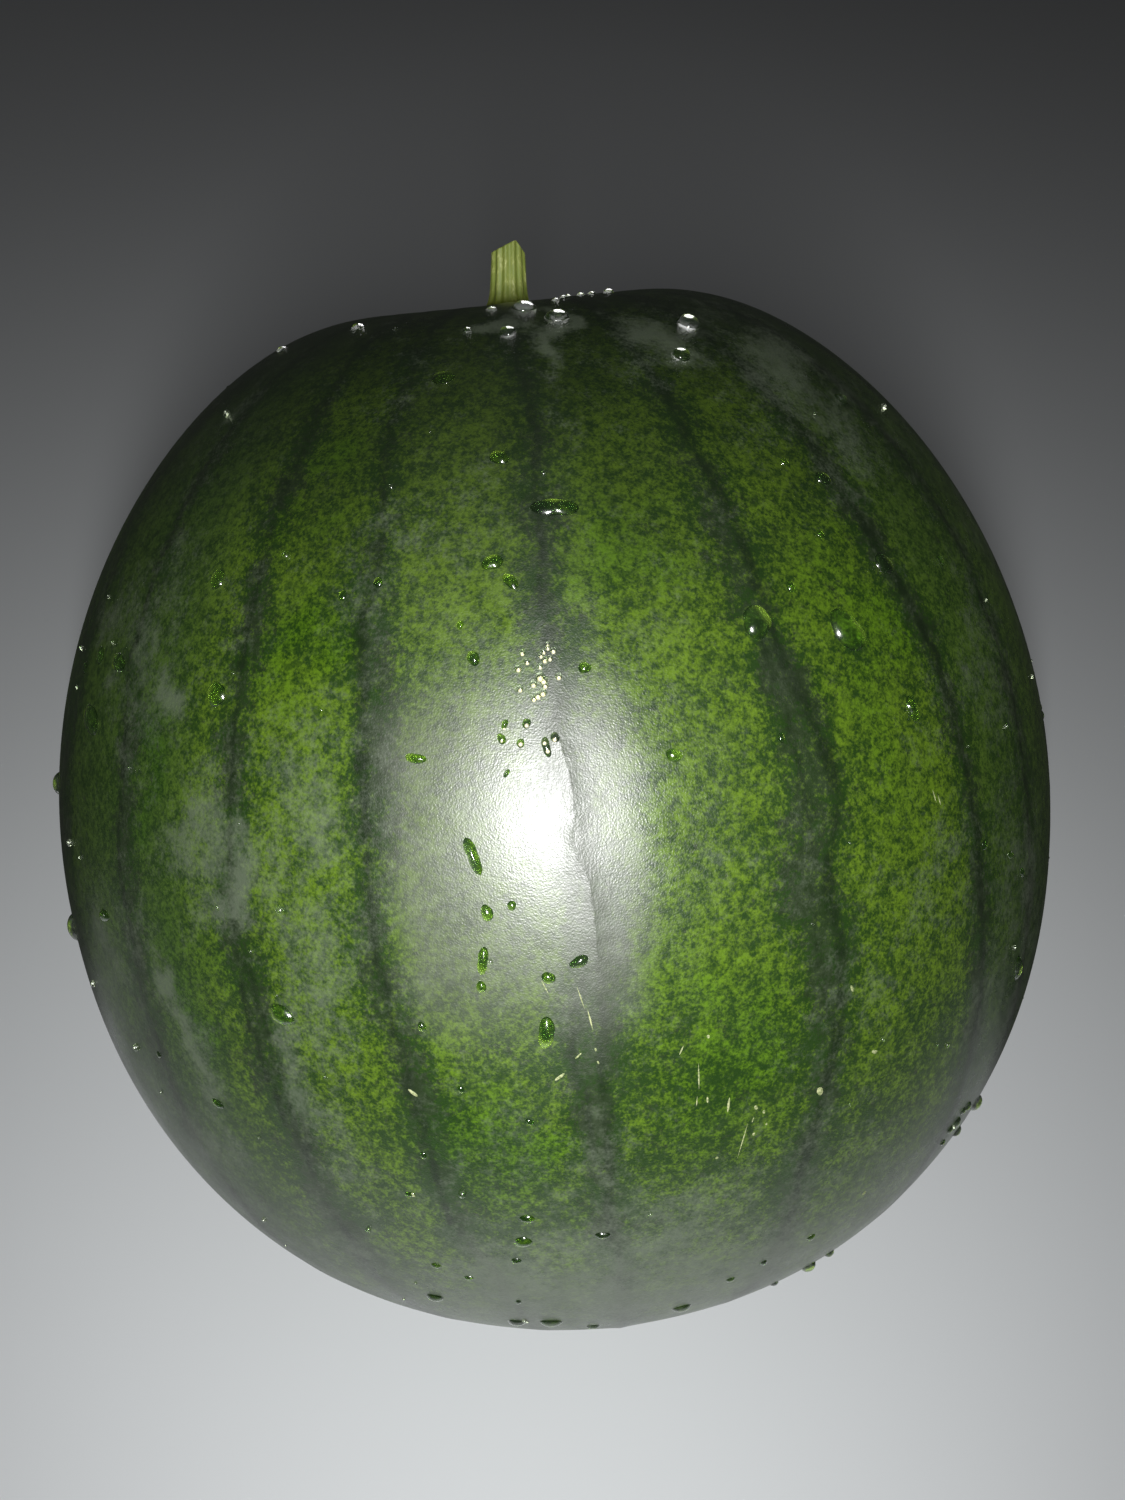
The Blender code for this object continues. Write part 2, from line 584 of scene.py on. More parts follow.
@dataclass(frozen=True)
class Vein:
    """A thin dark line along a stripe, on a ridge if it has one."""

    course: Course
    width: float = 0.75
    strength: float = 1.0
    ridge: float = 0.0

    def off(self, where: Map) -> np.ndarray:
        """Each point's distance to the line's right, in millimetres."""
        return where.aside(smooth_course(self.course, 1, where.colatitude))

    def cover(self, where: Map) -> np.ndarray:
        """How dark the line is at each point, 0 to 1."""
        first, last = self.course[0][0], self.course[-1][0]
        ends = soft_step(where.colatitude, first - 2, first + 2)
        ends = ends * (1 - soft_step(where.colatitude, last - 2, last + 2))
        return self.strength * ends * np.exp(-((self.off(where) / self.width) ** 2))

    def crest(self, where: Map, reach: float) -> np.ndarray:
        """The line's ridge, sharp at its crest, as a share of the tallest one's height."""
        return self.ridge * np.exp(-np.abs(self.off(where)) / reach)


@dataclass(frozen=True)
class Patch:
    """A soft-edged patch between two longitudes and two colatitudes."""

    west: float
    east: float
    top: float
    bottom: float
    strength: float = 1.0

    def cover(self, where: Map) -> np.ndarray:
        """How much of the patch each point has, at most its strength."""
        middle = (self.west + self.east) / 2
        level = (self.top + self.bottom) / 2
        size = np.sin(np.radians(level)) * 85.0
        wide = math.radians(self.east - self.west) / 2 * size
        tall = math.radians(self.bottom - self.top) / 2 * 92.0
        off_wide, off_tall = where.near(middle, level)
        ring = (off_wide / wide) ** 2 + (off_tall / tall) ** 2
        return self.strength * np.exp(-0.9 * ring)


@dataclass(frozen=True)
class Markings:
    """Every stripe, vein and patch of the skin."""

    band: tuple[Band, ...]
    vein: tuple[Vein, ...]
    bloom: tuple[Patch, ...]
    wiped: tuple[Patch, ...]
    wet: tuple[Patch, ...]
    waxy: tuple[Band, ...]
    dim: tuple[Band, ...]

    def lay(self, mesh: bpy.types.Mesh, where: Map) -> None:
        """Keeps each kind of marking on a mesh's points, under the kind's name.

        Args:
            mesh: A mesh on the skin.
            where: Where its points lie.
        """
        for kind in fields(self):
            marks = getattr(self, kind.name)
            keep(mesh, kind.name, np.maximum.reduce([mark.cover(where) for mark in marks]))
        keep(mesh, "crease", np.clip(CENTRAL_VEIN.off(where), -20.0, 20.0))


FRONT_BANDS = (
    Band(((25, -72, -66), (60, -71, -63), (100, -69, -61), (140, -66, -60)), 0.9),
    Band(((15, -53, -49), (28, -52.2, -49.2), (45, -51.8, -48.9), (58, -51.2, -48.4), (64, -50.2, -46),
          (73, -50, -46), (78, -49.2, -45.6), (98, -48.6, -45.2), (110, -47.5, -44), (135, -46, -42.5))),
    Band(((15, -35, -31), (34, -34, -30.4), (60, -34.2, -30.6), (75, -33.8, -30), (90, -33, -28.6),
          (98, -32.4, -28), (108, -31, -27), (120, -30.5, -26.5), (140, -30, -26))),
    Band(((15, -20, -16), (30, -19.6, -16.4), (37, -20.5, -17.4), (45, -18.6, -15.6), (52, -21.2, -15.8),
          (58, -19, -15.4), (65, -18, -14.4), (73, -18.4, -14.6), (80, -18.8, -15.8), (90, -18.4, -15),
          (97, -17.6, -14.4), (105, -17, -14), (112, -16.2, -13.4), (120, -14.6, -11), (140, -14, -10.5))),
    Band(((15, -1.8, 2.6), (30, -0.8, 2.8), (40, 0.2, 3.8), (46, -0.4, 4.2), (55, -1.2, 2.4),
          (65, -1.4, 2.6), (75, -1.2, 3.2), (85, -0.6, 5), (92, -2.2, 3), (100, -2, 2.4),
          (106, -0.6, 2.4), (125, -0.8, 2.6), (145, -1, 2.5))),
    Band(((15, 20, 25), (40, 20.2, 24.4), (45, 19.4, 24), (57, 19, 24.2), (62, 20.6, 25.6), (66, 21, 27),
          (72, 21.5, 26.8), (77, 19.4, 26.2), (82, 18.6, 24.6), (87, 20, 26.6), (92, 21.2, 25.4),
          (100, 21, 25), (106, 20.4, 23.8), (112, 18.4, 22.4), (125, 18, 22), (145, 17.5, 21.5))),
    Band(((15, 37, 42), (40, 36.8, 41.2), (47, 38.2, 43), (58, 38.8, 43.4), (64, 40.8, 45),
          (75, 42, 45.4), (90, 42, 45.6), (100, 41.8, 45.2), (106, 42.4, 46.6), (120, 42.5, 46),
          (145, 42, 45.5))),
    Band(((20, 56, 60), (50, 57, 60.6), (65, 56, 59.5), (90, 53.5, 57.5), (110, 54, 57.5), (140, 54, 57))),
)

CENTRAL_VEIN = Vein(((12, 0.5), (30, 1), (40, 2), (48, 1.6), (55, 0.5), (62, 0.7), (69, 1.1), (75, 1.6),
                     (79, 2), (85, 2.1), (92, 1.6), (100, 1.5), (105, 1), (125, 1), (150, 0.8)), ridge=1.0)

FRONT_VEINS = (
    CENTRAL_VEIN,
    Vein(((25, -68), (60, -66), (90, -64.5), (140, -62)), strength=0.5),
    Vein(((15, -51.5), (45, -51), (60, -50), (68, -48.5), (75, -48.5), (90, -47), (105, -46), (140, -44)),
         ridge=0.35),
    Vein(((15, -32.5), (45, -32), (60, -32.5), (75, -32), (92, -31.7), (100, -30.4), (108, -29),
          (118, -28.6), (145, -28)), ridge=0.35),
    Vein(((84, -31), (92, -29.6), (98, -29.2), (106, -29)), strength=0.8),
    Vein(((14, -18), (30, -18), (37, -19), (45, -17), (55, -18), (62, -18), (73, -18), (78, -17.6),
          (90, -16.6), (97, -16.4), (105, -15.8), (112, -15.2), (120, -12.6), (145, -12)), ridge=0.35),
    Vein(((86, 0.6), (92, -1), (100, -1), (106, 0.2)), strength=0.9),
    Vein(((79, 1.6), (84, 3.2), (89, 5)), strength=0.6),
    Vein(((14, 21.5), (30, 21.5), (40, 22.6), (45, 23), (57, 23.2), (62, 23.8), (68, 25.2), (75, 25.7),
          (83, 23.8), (88, 24.4), (96, 24), (100, 23.2), (105, 22), (112, 20.6), (120, 20.4), (150, 19.5)),
         width=1.1, ridge=0.35),
    Vein(((58, 21.8), (62, 22.3), (72, 22.6), (80, 22.4), (90, 22.4), (95, 23)), strength=0.7),
    Vein(((72, 16), (76, 17.6), (80, 18.8)), strength=0.5),
    Vein(((14, 38.6), (30, 38.6), (42, 39.4), (50, 40), (56, 41), (64, 43), (75, 43.6), (90, 43.8),
          (100, 43.8), (106, 44.4), (125, 44), (150, 43.5)), width=1.1, ridge=0.35),
    Vein(((20, 58), (50, 58.8), (65, 57.8), (90, 55.6), (110, 55.8), (145, 55.5)), ridge=0.35),
)

BLOOM = (
    Patch(-54, -38, 48, 68, 0.6), Patch(-46, -38, 58, 66, 0.7), Patch(-30, -18, 65, 76, 0.85),
    Patch(-36, -28.5, 70, 84, 1.1), Patch(-46, -38.5, 82, 112, 1.0), Patch(-58, -49, 82, 92, 0.9),
    Patch(-31, -25, 86, 107, 0.75), Patch(-62, -50, 30, 38, 0.6), Patch(-61, -51, 54, 60, 0.8),
    Patch(-70, -40, 104, 128, 0.35), Patch(33, 62, 26, 46, 1.0), Patch(31, 42, 79, 91, 0.7),
    Patch(25, 33, 89, 101, 0.55), Patch(44, 62, 84, 112, 0.65), Patch(-22, -14, 49, 59, 0.7),
    # Patch(4, 14, 70, 84) on the row below lies beside the front's highlight: partly bloom, partly painted sheen.
    Patch(-12, -4, 42, 50, 0.35), Patch(4, 14, 70, 84, 0.3), Patch(95, 130, 60, 95, 0.6),
    Patch(150, 172, 44, 70, 0.55), Patch(205, 230, 70, 105, 0.65), Patch(240, 262, 46, 76, 0.6),
    Patch(120, 150, 96, 120, 0.4), Patch(268, 288, 90, 118, 0.5), Patch(66, 88, 46, 70, 0.5),
    # Patch(-16, 9, 62, 90) on the row below lies under the front's highlight: partly bloom, partly painted sheen
    # that greys the highlight's haze.
    Patch(-58, -54, 54.5, 58, 0.6), Patch(-16, 9, 62, 90, 0.5), Patch(-29, -18, 68, 98, 0.6),
    Patch(-30, 34, 112, 142, 1.15), Patch(46, 60, 60, 80, 0.4), Patch(-40, -32, 72, 81, 0.6),
    Patch(19, 29, 24, 34, 1.35), Patch(1, 7, 20, 27, 1.4), Patch(2, 7, 30, 38, 0.6),
    Patch(-44, -39, 60.5, 65.5, 1.5), Patch(-45, -39.5, 83.5, 90.5, 1.5),
)

WIPED = (
    Patch(-48, -40, 64, 73), Patch(-42, -35.5, 81, 104), Patch(-30.5, -21, 48, 61),
    Patch(-30, -18, 36, 45, 0.8), Patch(3, 20, 88, 106, 0.8), Patch(-14, -2, 96, 112, 0.9),
    Patch(26, 41, 50, 76, 0.7), Patch(4, 18, 44, 58, 0.6), Patch(176, 200, 60, 84, 0.8),
    Patch(84, 98, 92, 116, 0.7), Patch(232, 246, 82, 104, 0.7),
)

WET_STREAKS = (
    Patch(-28.6, -26, 48.5, 51.5), Patch(-27.2, -24.4, 50.5, 54), Patch(-25.2, -22.6, 53, 56.5),
    Patch(-23.6, -21, 55.5, 59.5), Patch(-7, -4.6, 50, 55), Patch(-52, -48, 58.5, 62),
)

WAXY = (
    Band(((20, -17, 6), (55, -16, 6.5), (66, -15.5, 7), (80, -15, 7), (90, -14.5, 6), (96, -11, 1),
          (101, -8, -5), (108, -6, -5.5), (150, -6, -5.5))),
    Band(((20, -62, -36), (60, -60, -36), (90, -58, -35), (150, -54, -32)), 0.8, 6.0),
    Band(((20, 95, 140), (150, 90, 138)), 0.8, 6.0),
    Band(((20, 190, 240), (150, 195, 236)), 0.8, 6.0),
)


# Where the flecks turn darker and duller: painted shade on the front's left and right sides, where the melon turns
# from the light; the hidden two repeat it round the melon.
PAINTED_SHADE_BANDS = (
    Band(((20, -84, -40), (60, -82, -38), (110, -76, -36), (150, -74, -34)), 0.8, 7.0),
    Band(((20, 42, 84), (70, 44, 84), (150, 44, 80)), 0.7, 7.0),
    Band(((20, 112, 160), (150, 116, 158)), 0.7, 9.0),
    Band(((20, 212, 250), (150, 208, 252)), 0.7, 9.0),
)


@dataclass(frozen=True)
class HiddenStripes:
    """The stripes that the front doesn't show, grown by the rule that the front ones follow."""

    first: float = 75.0
    last: float = 275.0
    count: int = 12
    seed: int = 7
    colatitudes: tuple[int, ...] = (15, 32, 46, 58, 70, 82, 94, 106, 118, 130, 145)

    def grow(self) -> tuple[tuple[Band, ...], tuple[Vein, ...]]:
        """Draws each stripe's wander, width and veins.

        Returns:
            The bands and the veins.
        """
        draw = random.Random(self.seed)
        bands, veins = [], []
        for index in range(self.count):
            middle = self.first + (self.last - self.first) * index / (self.count - 1)
            middle += draw.uniform(-2.0, 2.0)
            width = draw.uniform(1.5, 2.4)
            edge = draw.choice((-1.0, 1.0))
            course, vein, other = [], [], []
            for colatitude in self.colatitudes:
                wander = middle + draw.uniform(-1.1, 1.1)
                west = wander - width - draw.uniform(-0.4, 0.9)
                east = wander + width + draw.uniform(-0.4, 0.9)
                course.append((colatitude, west, east))
                vein.append((colatitude, wander + edge * width * draw.uniform(0.2, 0.8)))
                other.append((colatitude, wander - edge * width * draw.uniform(0.3, 0.9)))
            bands.append(Band(tuple(course), draw.uniform(0.85, 1.0)))
            veins.append(Vein(tuple(vein), width=draw.uniform(0.9, 1.2), ridge=0.35))
            start = draw.randrange(2, 6)
            veins.append(Vein(tuple(other[start:start + 4]), strength=draw.uniform(0.5, 0.9)))
        return tuple(bands), tuple(veins)


def all_markings() -> Markings:
    """The front's markings, which are listed one by one, with the hidden ones."""
    bands, veins = HiddenStripes().grow()
    return Markings(FRONT_BANDS + bands, FRONT_VEINS + veins, BLOOM, WIPED, WET_STREAKS, WAXY, PAINTED_SHADE_BANDS)


@dataclass(frozen=True)
class RindFinish:
    """The mottled rind, its stripes, its waxy bloom and the skin's fine grain, with some painted shade and a
    painted sheen.
    """

    deep: tuple = tint(30, 53, 15)
    bright: tuple = tint(86, 112, 25)
    clear: tuple = (0.72, 0.92, 0.5, 1.0)
    stripe: tuple = tint(29, 42, 19)
    haze: tuple = tint(44, 55, 36)
    vein: tuple = tint(17, 29, 13)
    bloom: tuple = tint(100, 110, 92)
    # Partly the waxy bloom's grey, partly painted sheen under the front's highlight.
    film: tuple = tint(88, 91, 82)
    # The darker fleck colour of the painted shade bands.
    dusky: tuple = tint(58, 82, 32)
    # The crown's colour: partly the rind's own dark crown, partly painted shade.
    crown: tuple = tint(21, 31, 18)
    field_spot: tuple = tint(196, 182, 112)
    field_stain: tuple = tint(170, 160, 80)
    cork: tuple = tint(150, 126, 84)
    mottle: float = 0.42 * MM
    blotch: float = 1.25 * MM
    cluster: float = 6.5 * MM
    field_spot_at: tuple[float, float] = (176.0, 128.0)
    field_spot_size: float = 0.36
    gloss: float = 0.95
    bloom_cover: float = 0.58
    film_cover: float = 0.5
    film_foot: tuple[float, float] = (-0.1, 0.1)
    film_head: tuple[float, float] = (0.55, 0.4)
    film_front: tuple[float, float] = (0.8, 0.88)
    crease_height: float = 0.12 * MM
    crease_reach: float = 0.8
    crease_wander: float = 1.1
    crease_foot: tuple[float, float] = (0.02, 0.16)
    crease_head: tuple[float, float] = (0.5, 0.4)

    def make(self) -> bpy.types.Material:
        """Builds the material."""
        paint = Paint("rind")
        way = paint.way()
        colour, veil = self.striped(paint, way[2])
        bloom = self.powder(paint, veil)
        wet = paint.attribute("wet")
        # A grey under the front's highlight: partly waxy bloom, partly painted sheen.
        colour = paint.mix(self.film_mask(paint, way), colour, self.film)
        colour = paint.mix(self.bloom_cover * bloom * (1.0 - wet), colour, self.bloom)
        pale = paint.mix(paint.grain(3 * MM), self.field_spot, self.field_stain)
        colour = paint.mix(self.field_mask(paint, way), colour, pale)
        cork = self.scar(paint, way)
        dull = paint.grain(0.5 * MM, 2.0, 0.6)
        smear = paint.grain(6 * MM, 2.0, 0.5, 0.3)
        roughness = 0.3 + 0.2 * (dull - 0.5) + 0.16 * (smear - 0.5) + 0.04 * bloom + 0.04 * veil
        roughness = roughness + 0.09 * paint.attribute("waxy")
        paint.set(
            Base_Color=paint.mix(cork * 0.8, colour, self.cork),
            Roughness=paint.maximum(roughness - 0.16 * wet + 0.3 * cork, 0.12),
            Normal=paint.bump(self.relief(paint, cork, way[2])),
        )
        paint.shader.inputs["Specular IOR Level"].default_value = self.gloss
        return paint.material

    def striped(self, paint: Paint, up: Value) -> tuple[bpy.types.NodeSocket, Value]:
        """The panels, the stripes, the veins and the dark crown, which is partly the rind's own and partly painted
        shade.

        Args:
            paint: The material's tree.
            up: How far towards the stem each point is, 1 at the stem.

        Returns:
            The colour, and the stripes' mask.
        """
        patchy = paint.ramp(paint.grain(9 * MM, 2.0, 0.5, 0.45), 0.3, 0.7)
        fade = 0.55 + 0.45 * patchy
        band = paint.attribute("band") * fade
        veil = self.ragged(paint, band, 0.5) * fade
        streak = paint.attribute("vein") + 1.0 * (paint.grain(1.6 * MM, 2.0, 0.6, 0.25) - 0.5)
        broken = paint.ramp(paint.grain(4.5 * MM, 2.0, 0.6, 0.35), 0.3, 0.6)
        colour = self.panel(paint, veil, band, up)
        vein = paint.ramp(streak, 0.2, 0.95) * (0.3 + 0.45 * broken)
        colour = paint.mix(vein, colour, self.vein)
        # Darker towards the stem: partly the rind's own dark crown, partly painted shade.
        crown = paint.ramp(up + 0.2 * (paint.grain(10 * MM, 3.0) - 0.5), 0.45, 1.0)
        return paint.mix(crown * 0.9, colour, self.crown), veil

    def ragged(self, paint: Paint, cover: Value, level: float) -> Value:
        """Turns a soft mask into one with a torn, scalloped edge.

        Args:
            paint: The material's tree.
            cover: The soft mask.
            level: Where the edge lies in it.

        Returns:
            The torn mask.
        """
        torn = cover + 2.4 * (paint.grain(0.6 * MM, 2.0, 0.65) - 0.5)
        torn = torn + 2.6 * (paint.grain(3.0 * MM, 3.0, 0.55, 0.1) - 0.5)
        return paint.ramp(torn, level - 0.3, level + 0.3)

    def panel(self, paint: Paint, veil: Value, band: Value, up: Value) -> bpy.types.NodeSocket:
        """The ground with its yellow-green flecks, which thin out into the stripes and, as painted shade, towards
        the bottom.

        Args:
            paint: The material's tree.
            veil: The stripes' torn mask.
            band: The stripes' soft mask.
            up: How far towards the stem each point is, 1 at the stem.

        Returns:
            The colour.
        """
        fine = paint.grain(self.mottle, 2.0, 0.6)
        middle = paint.grain(self.blotch, 3.0, 0.6, 0.05)
        large = paint.grain(self.cluster, 2.0, 0.5, 0.2)
        lit = 2.0 * (fine - 0.5) + 2.4 * (middle - 0.5) + 1.0 * (large - 0.5)
        # Fewer bright flecks towards the bottom: painted shade.
        low = paint.ramp(up, 0.25, -0.45)
        flecks = paint.ramp(lit - 0.8 * band - 0.3 * low, -0.6, 0.7)
        dull = paint.mix(paint.ramp(middle, 0.35, 0.65), self.stripe, self.haze)
        ground = paint.mix(veil * 0.95, self.deep, dull)
        # The flecks turn darker where the painted shade bands lie.
        lively = paint.mix(paint.attribute("dim"), self.bright, self.dusky)
        colour = paint.mix(flecks, ground, lively)
        wiped = paint.attribute("wiped") + 0.8 * (middle - 0.5) + 0.8 * (large - 0.5)
        colour = paint.mix(0.8 * paint.ramp(wiped, 0.1, 1.0), colour, self.clear, "MULTIPLY")
        spots = paint.ramp(paint.grain(2.2 * MM, 1.0, 0.5, 0.4), 0.66, 0.74)
        return paint.mix(spots * 0.6, colour, self.deep)

    def powder(self, paint: Paint, veil: Value) -> Value:
        """The waxy bloom, patchy and a little stronger over the stripes."""
        fine = paint.grain(0.5 * MM, 2.0, 0.6, 0.7)
        middle = paint.grain(2.4 * MM, 3.0, 0.6, 0.75)
        large = paint.grain(12 * MM, 3.0, 0.55, 0.8)
        worn = 1.3 * (fine - 0.5) + 1.6 * (middle - 0.5) + 1.2 * (large - 0.5)
        return paint.ramp(paint.attribute("bloom") + worn + 0.1 * veil, 0.1, 1.35)

    def film_mask(self, paint: Paint, way: Sequence[Value]) -> Value:
        """A grey over the middle of the front, under the key light's highlight: partly the waxy bloom's grey,
        partly painted sheen that greys the highlight's haze.
        """
        ends = paint.ramp(way[2], *self.film_foot) * paint.ramp(way[2], *self.film_head)
        front = paint.ramp(way[0], *self.film_front)
        return self.film_cover * ends * front * paint.attribute("waxy")

    def field_mask(self, paint: Paint, way: Sequence[Value]) -> Value:
        """Where the melon lay in the field, on the hidden side."""
        lon, col = (math.radians(angle) for angle in self.field_spot_at)
        middle = (math.sin(col) * math.cos(lon), math.sin(col) * math.sin(lon), math.cos(col))
        near = sum(part * share for part, share in zip(way, middle))
        edge = 0.16 * (paint.grain(5 * MM, 4.0, 0.6, 0.5) - 0.5)
        outer = 1 - 0.62 * self.field_spot_size**2
        inner = 1 - 0.1 * self.field_spot_size**2
        return 0.85 * paint.ramp(near + edge, outer, inner)

    def scar(self, paint: Paint, way: Sequence[Value]) -> Value:
        """The mask of the cork at the blossom end and in a ring round the stem."""
        x, y, z = way
        off_axis = paint.hypot(x, y) + 0.02 * (paint.grain(1.5 * MM) - 0.5)
        blossom = paint.ramp(off_axis, 0.062, 0.045) * (1.0 - (z > 0))
        stem = paint.ramp(off_axis, 0.06, 0.048) * (z > 0)
        return blossom + 0.7 * stem

    def relief(self, paint: Paint, cork: Value, up: Value) -> Value:
        """The fine height of the skin, in metres, with the sharp crease down its front."""
        pores = 0.035 * MM * paint.grain(0.24 * MM, 1.0, 0.5)
        peel = 0.014 * MM * paint.grain(0.8 * MM, 1.0, 0.5, 0.6)
        swell = 0.04 * MM * paint.grain(5.0 * MM, 1.0, 0.5, 0.9)
        off = paint.attribute("crease") + self.crease_wander * (paint.grain(4.0 * MM, 2.0, 0.6, 0.15) - 0.5)
        ends = paint.ramp(up, *self.crease_foot) * paint.ramp(up, *self.crease_head)
        crease = self.crease_height * ends * paint.exp(paint.abs(off) / -self.crease_reach)
        return pores + peel + swell + crease + 0.1 * MM * cork * paint.grain(0.6 * MM, 2.0)


@dataclass(frozen=True)
class WetRindFinish(RindFinish):
    """The rind as a drop shows it: smooth, without bloom, with painted light where the drop gathers it and painted
    shade round its edge.
    """

    # Painted light: the colour where a drop gathers light.
    glow: tuple = tint(138, 168, 52)
    # Painted shade: the dark outline round each drop.
    edge: tuple = tint(8, 16, 6)
    soaked: tuple = (0.66, 0.78, 0.6, 1.0)

    def make(self) -> bpy.types.Material:
        """Builds the material."""
        paint = Paint("wet rind")
        _, _, up = paint.way()
        colour, _ = self.striped(paint, up)
        colour = paint.mix(1.0, colour, self.soaked, "MULTIPLY")
        # Painted light where the drop gathers it; painted shade at its outline on the next line.
        colour = paint.mix(0.45 * paint.attribute("glow"), colour, self.glow)
        paint.set(Base_Color=paint.mix(0.6 * paint.attribute("rim"), colour, self.edge), Roughness=0.4)
        paint.shader.inputs["Specular IOR Level"].default_value = 0.05
        return paint.material


@dataclass
class Fruit:
    """The whole fruit: its skin, drawn by Geometry Nodes, with its markings on its points."""

    skin: Skin
    markings: Markings
    finish: RindFinish = RindFinish()
    cells: int = 125
    ridge_height: float = 0.24 * MM
    ridge_reach: float = 1.6
    lobe_height: float = 0.10 * MM
    collar_height: float = 0.35 * MM
    collar_radius: float = 6.0

    def build(self) -> bpy.types.Object:
        """Builds the fruit and dresses it.

        Returns:
            The finished object.
        """
        made = self.blow_up(self.finish.make())
        self.mark(made.data)
        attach(made, BODY)
        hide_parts("fruit")
        return made

    def blow_up(self, material: bpy.types.Material) -> bpy.types.Object:
        """Blows a cube out to the skin, leans it into place and presses its rest flat.

        Args:
            material: The rind's material.

        Returns:
            The plain fruit.
        """
        tree = Grower("melon_fruit")
        skin = replace(self.skin, **{
            part.name: tree.ask(part.name.replace("_", " ").capitalize(), getattr(self.skin, part.name))
            for part in fields(self.skin)
        })
        count = tree.ask("Cells a side", self.cells, "Int") + 1
        cube = tree.node(
            "GeometryNodeMeshCube",
            {},
            {"Size": (2, 2, 2), "Vertices X": count, "Vertices Y": count, "Vertices Z": count},
        ).outputs["Mesh"]
        corner = tree.split(tree.node("GeometryNodeInputPosition").outputs[0])
        spread = tree.join(*(tree.tan(part * (math.pi / 4)) for part in corner))
        stored = tree.node(
            "GeometryNodeStoreNamedAttribute",
            {"data_type": "FLOAT_VECTOR", "domain": "POINT"},
            {"Geometry": cube, "Name": "way", "Value": tree.vector("NORMALIZE", spread)},
        ).outputs[0]
        way = tree.node(
            "GeometryNodeInputNamedAttribute", {"data_type": "FLOAT_VECTOR"}, {"Name": "way"}
        ).outputs[0]
        blown = self.move(tree, stored, tree.join(*skin.point(tree.split(way), tree)))
        turns = (skin.front_meridian - skin.lean_towards, skin.lean, skin.lean_towards)
        for turn, axis in zip(turns, (2, 1, 2)):
            angles = [0.0, 0.0, 0.0]
            angles[axis] = turn
            blown = self.shift(tree, blown, "Rotation", tree.join(*angles))
        centre = tree.join(skin.centre_x, skin.centre_y, skin.centre_z)
        blown = self.shift(tree, blown, "Translation", centre)
        x, y, z = tree.split(tree.node("GeometryNodeInputPosition").outputs[0])
        pressed = self.move(tree, blown, tree.join(x, y, tree.maximum(z, 0.0)))
        smooth = tree.node("GeometryNodeSetShadeSmooth", {}, {"Geometry": pressed}).outputs[0]
        return tree.grow(smooth, material)

    @staticmethod
    def move(tree: Grower, geometry: Any, position: Any) -> bpy.types.NodeSocket:
        """Gives every point its new position."""
        return tree.node(
            "GeometryNodeSetPosition", {}, {"Geometry": geometry, "Position": position}
        ).outputs[0]

    @staticmethod
    def shift(tree: Grower, geometry: Any, how: str, amount: Any) -> bpy.types.NodeSocket:
        """Turns or moves the whole geometry."""
        return tree.node(
            "GeometryNodeTransform", {}, {"Geometry": geometry, how: amount}
        ).outputs[0]

    def mark(self, mesh: bpy.types.Mesh) -> None:
        """Raises the skin's ridges and puts its markings on its points.

        Args:
            mesh: The fruit's mesh, which carries each point's direction.
        """
        count = len(mesh.vertices)
        places = np.empty(count * 3, np.float32)
        normals = np.empty(count * 3, np.float32)
        ways = np.empty(count * 3, np.float32)
        mesh.vertices.foreach_get("co", places)
        mesh.vertex_normals.foreach_get("vector", normals)
        mesh.attributes["way"].data.foreach_get("vector", ways)
        places = places.reshape(-1, 3).astype(float)
        normals = normals.reshape(-1, 3).astype(float)
        where = Map.of(ways.reshape(-1, 3).astype(float), self.skin.girth_radius)
        rise = self.relief(where) * soft_step(places[:, 2], 0.2 * MM, 3.0 * MM)
        places += normals * rise[:, None]
        mesh.vertices.foreach_set("co", places.astype(np.float32).ravel())
        self.markings.lay(mesh, where)
        mesh.update()

    def relief(self, where: Map) -> np.ndarray:
        """The height of the skin over its plain outline.

        Args:
            where: Where each point lies.

        Returns:
            The height in metres.
        """
        ridged = [vein for vein in self.markings.vein if vein.ridge]
        crest = np.maximum.reduce([vein.crest(where, self.ridge_reach) for vein in ridged])
        lobes = np.cos(np.radians(where.longitude * 10 + 40)) * np.sin(np.radians(where.colatitude)) ** 2
        off_axis = where.across / MM
        upper = where.colatitude < 90
        collar = upper * self.collar_height * np.exp(-((off_axis / self.collar_radius) ** 2))
        return self.ridge_height * crest + self.lobe_height * lobes + collar


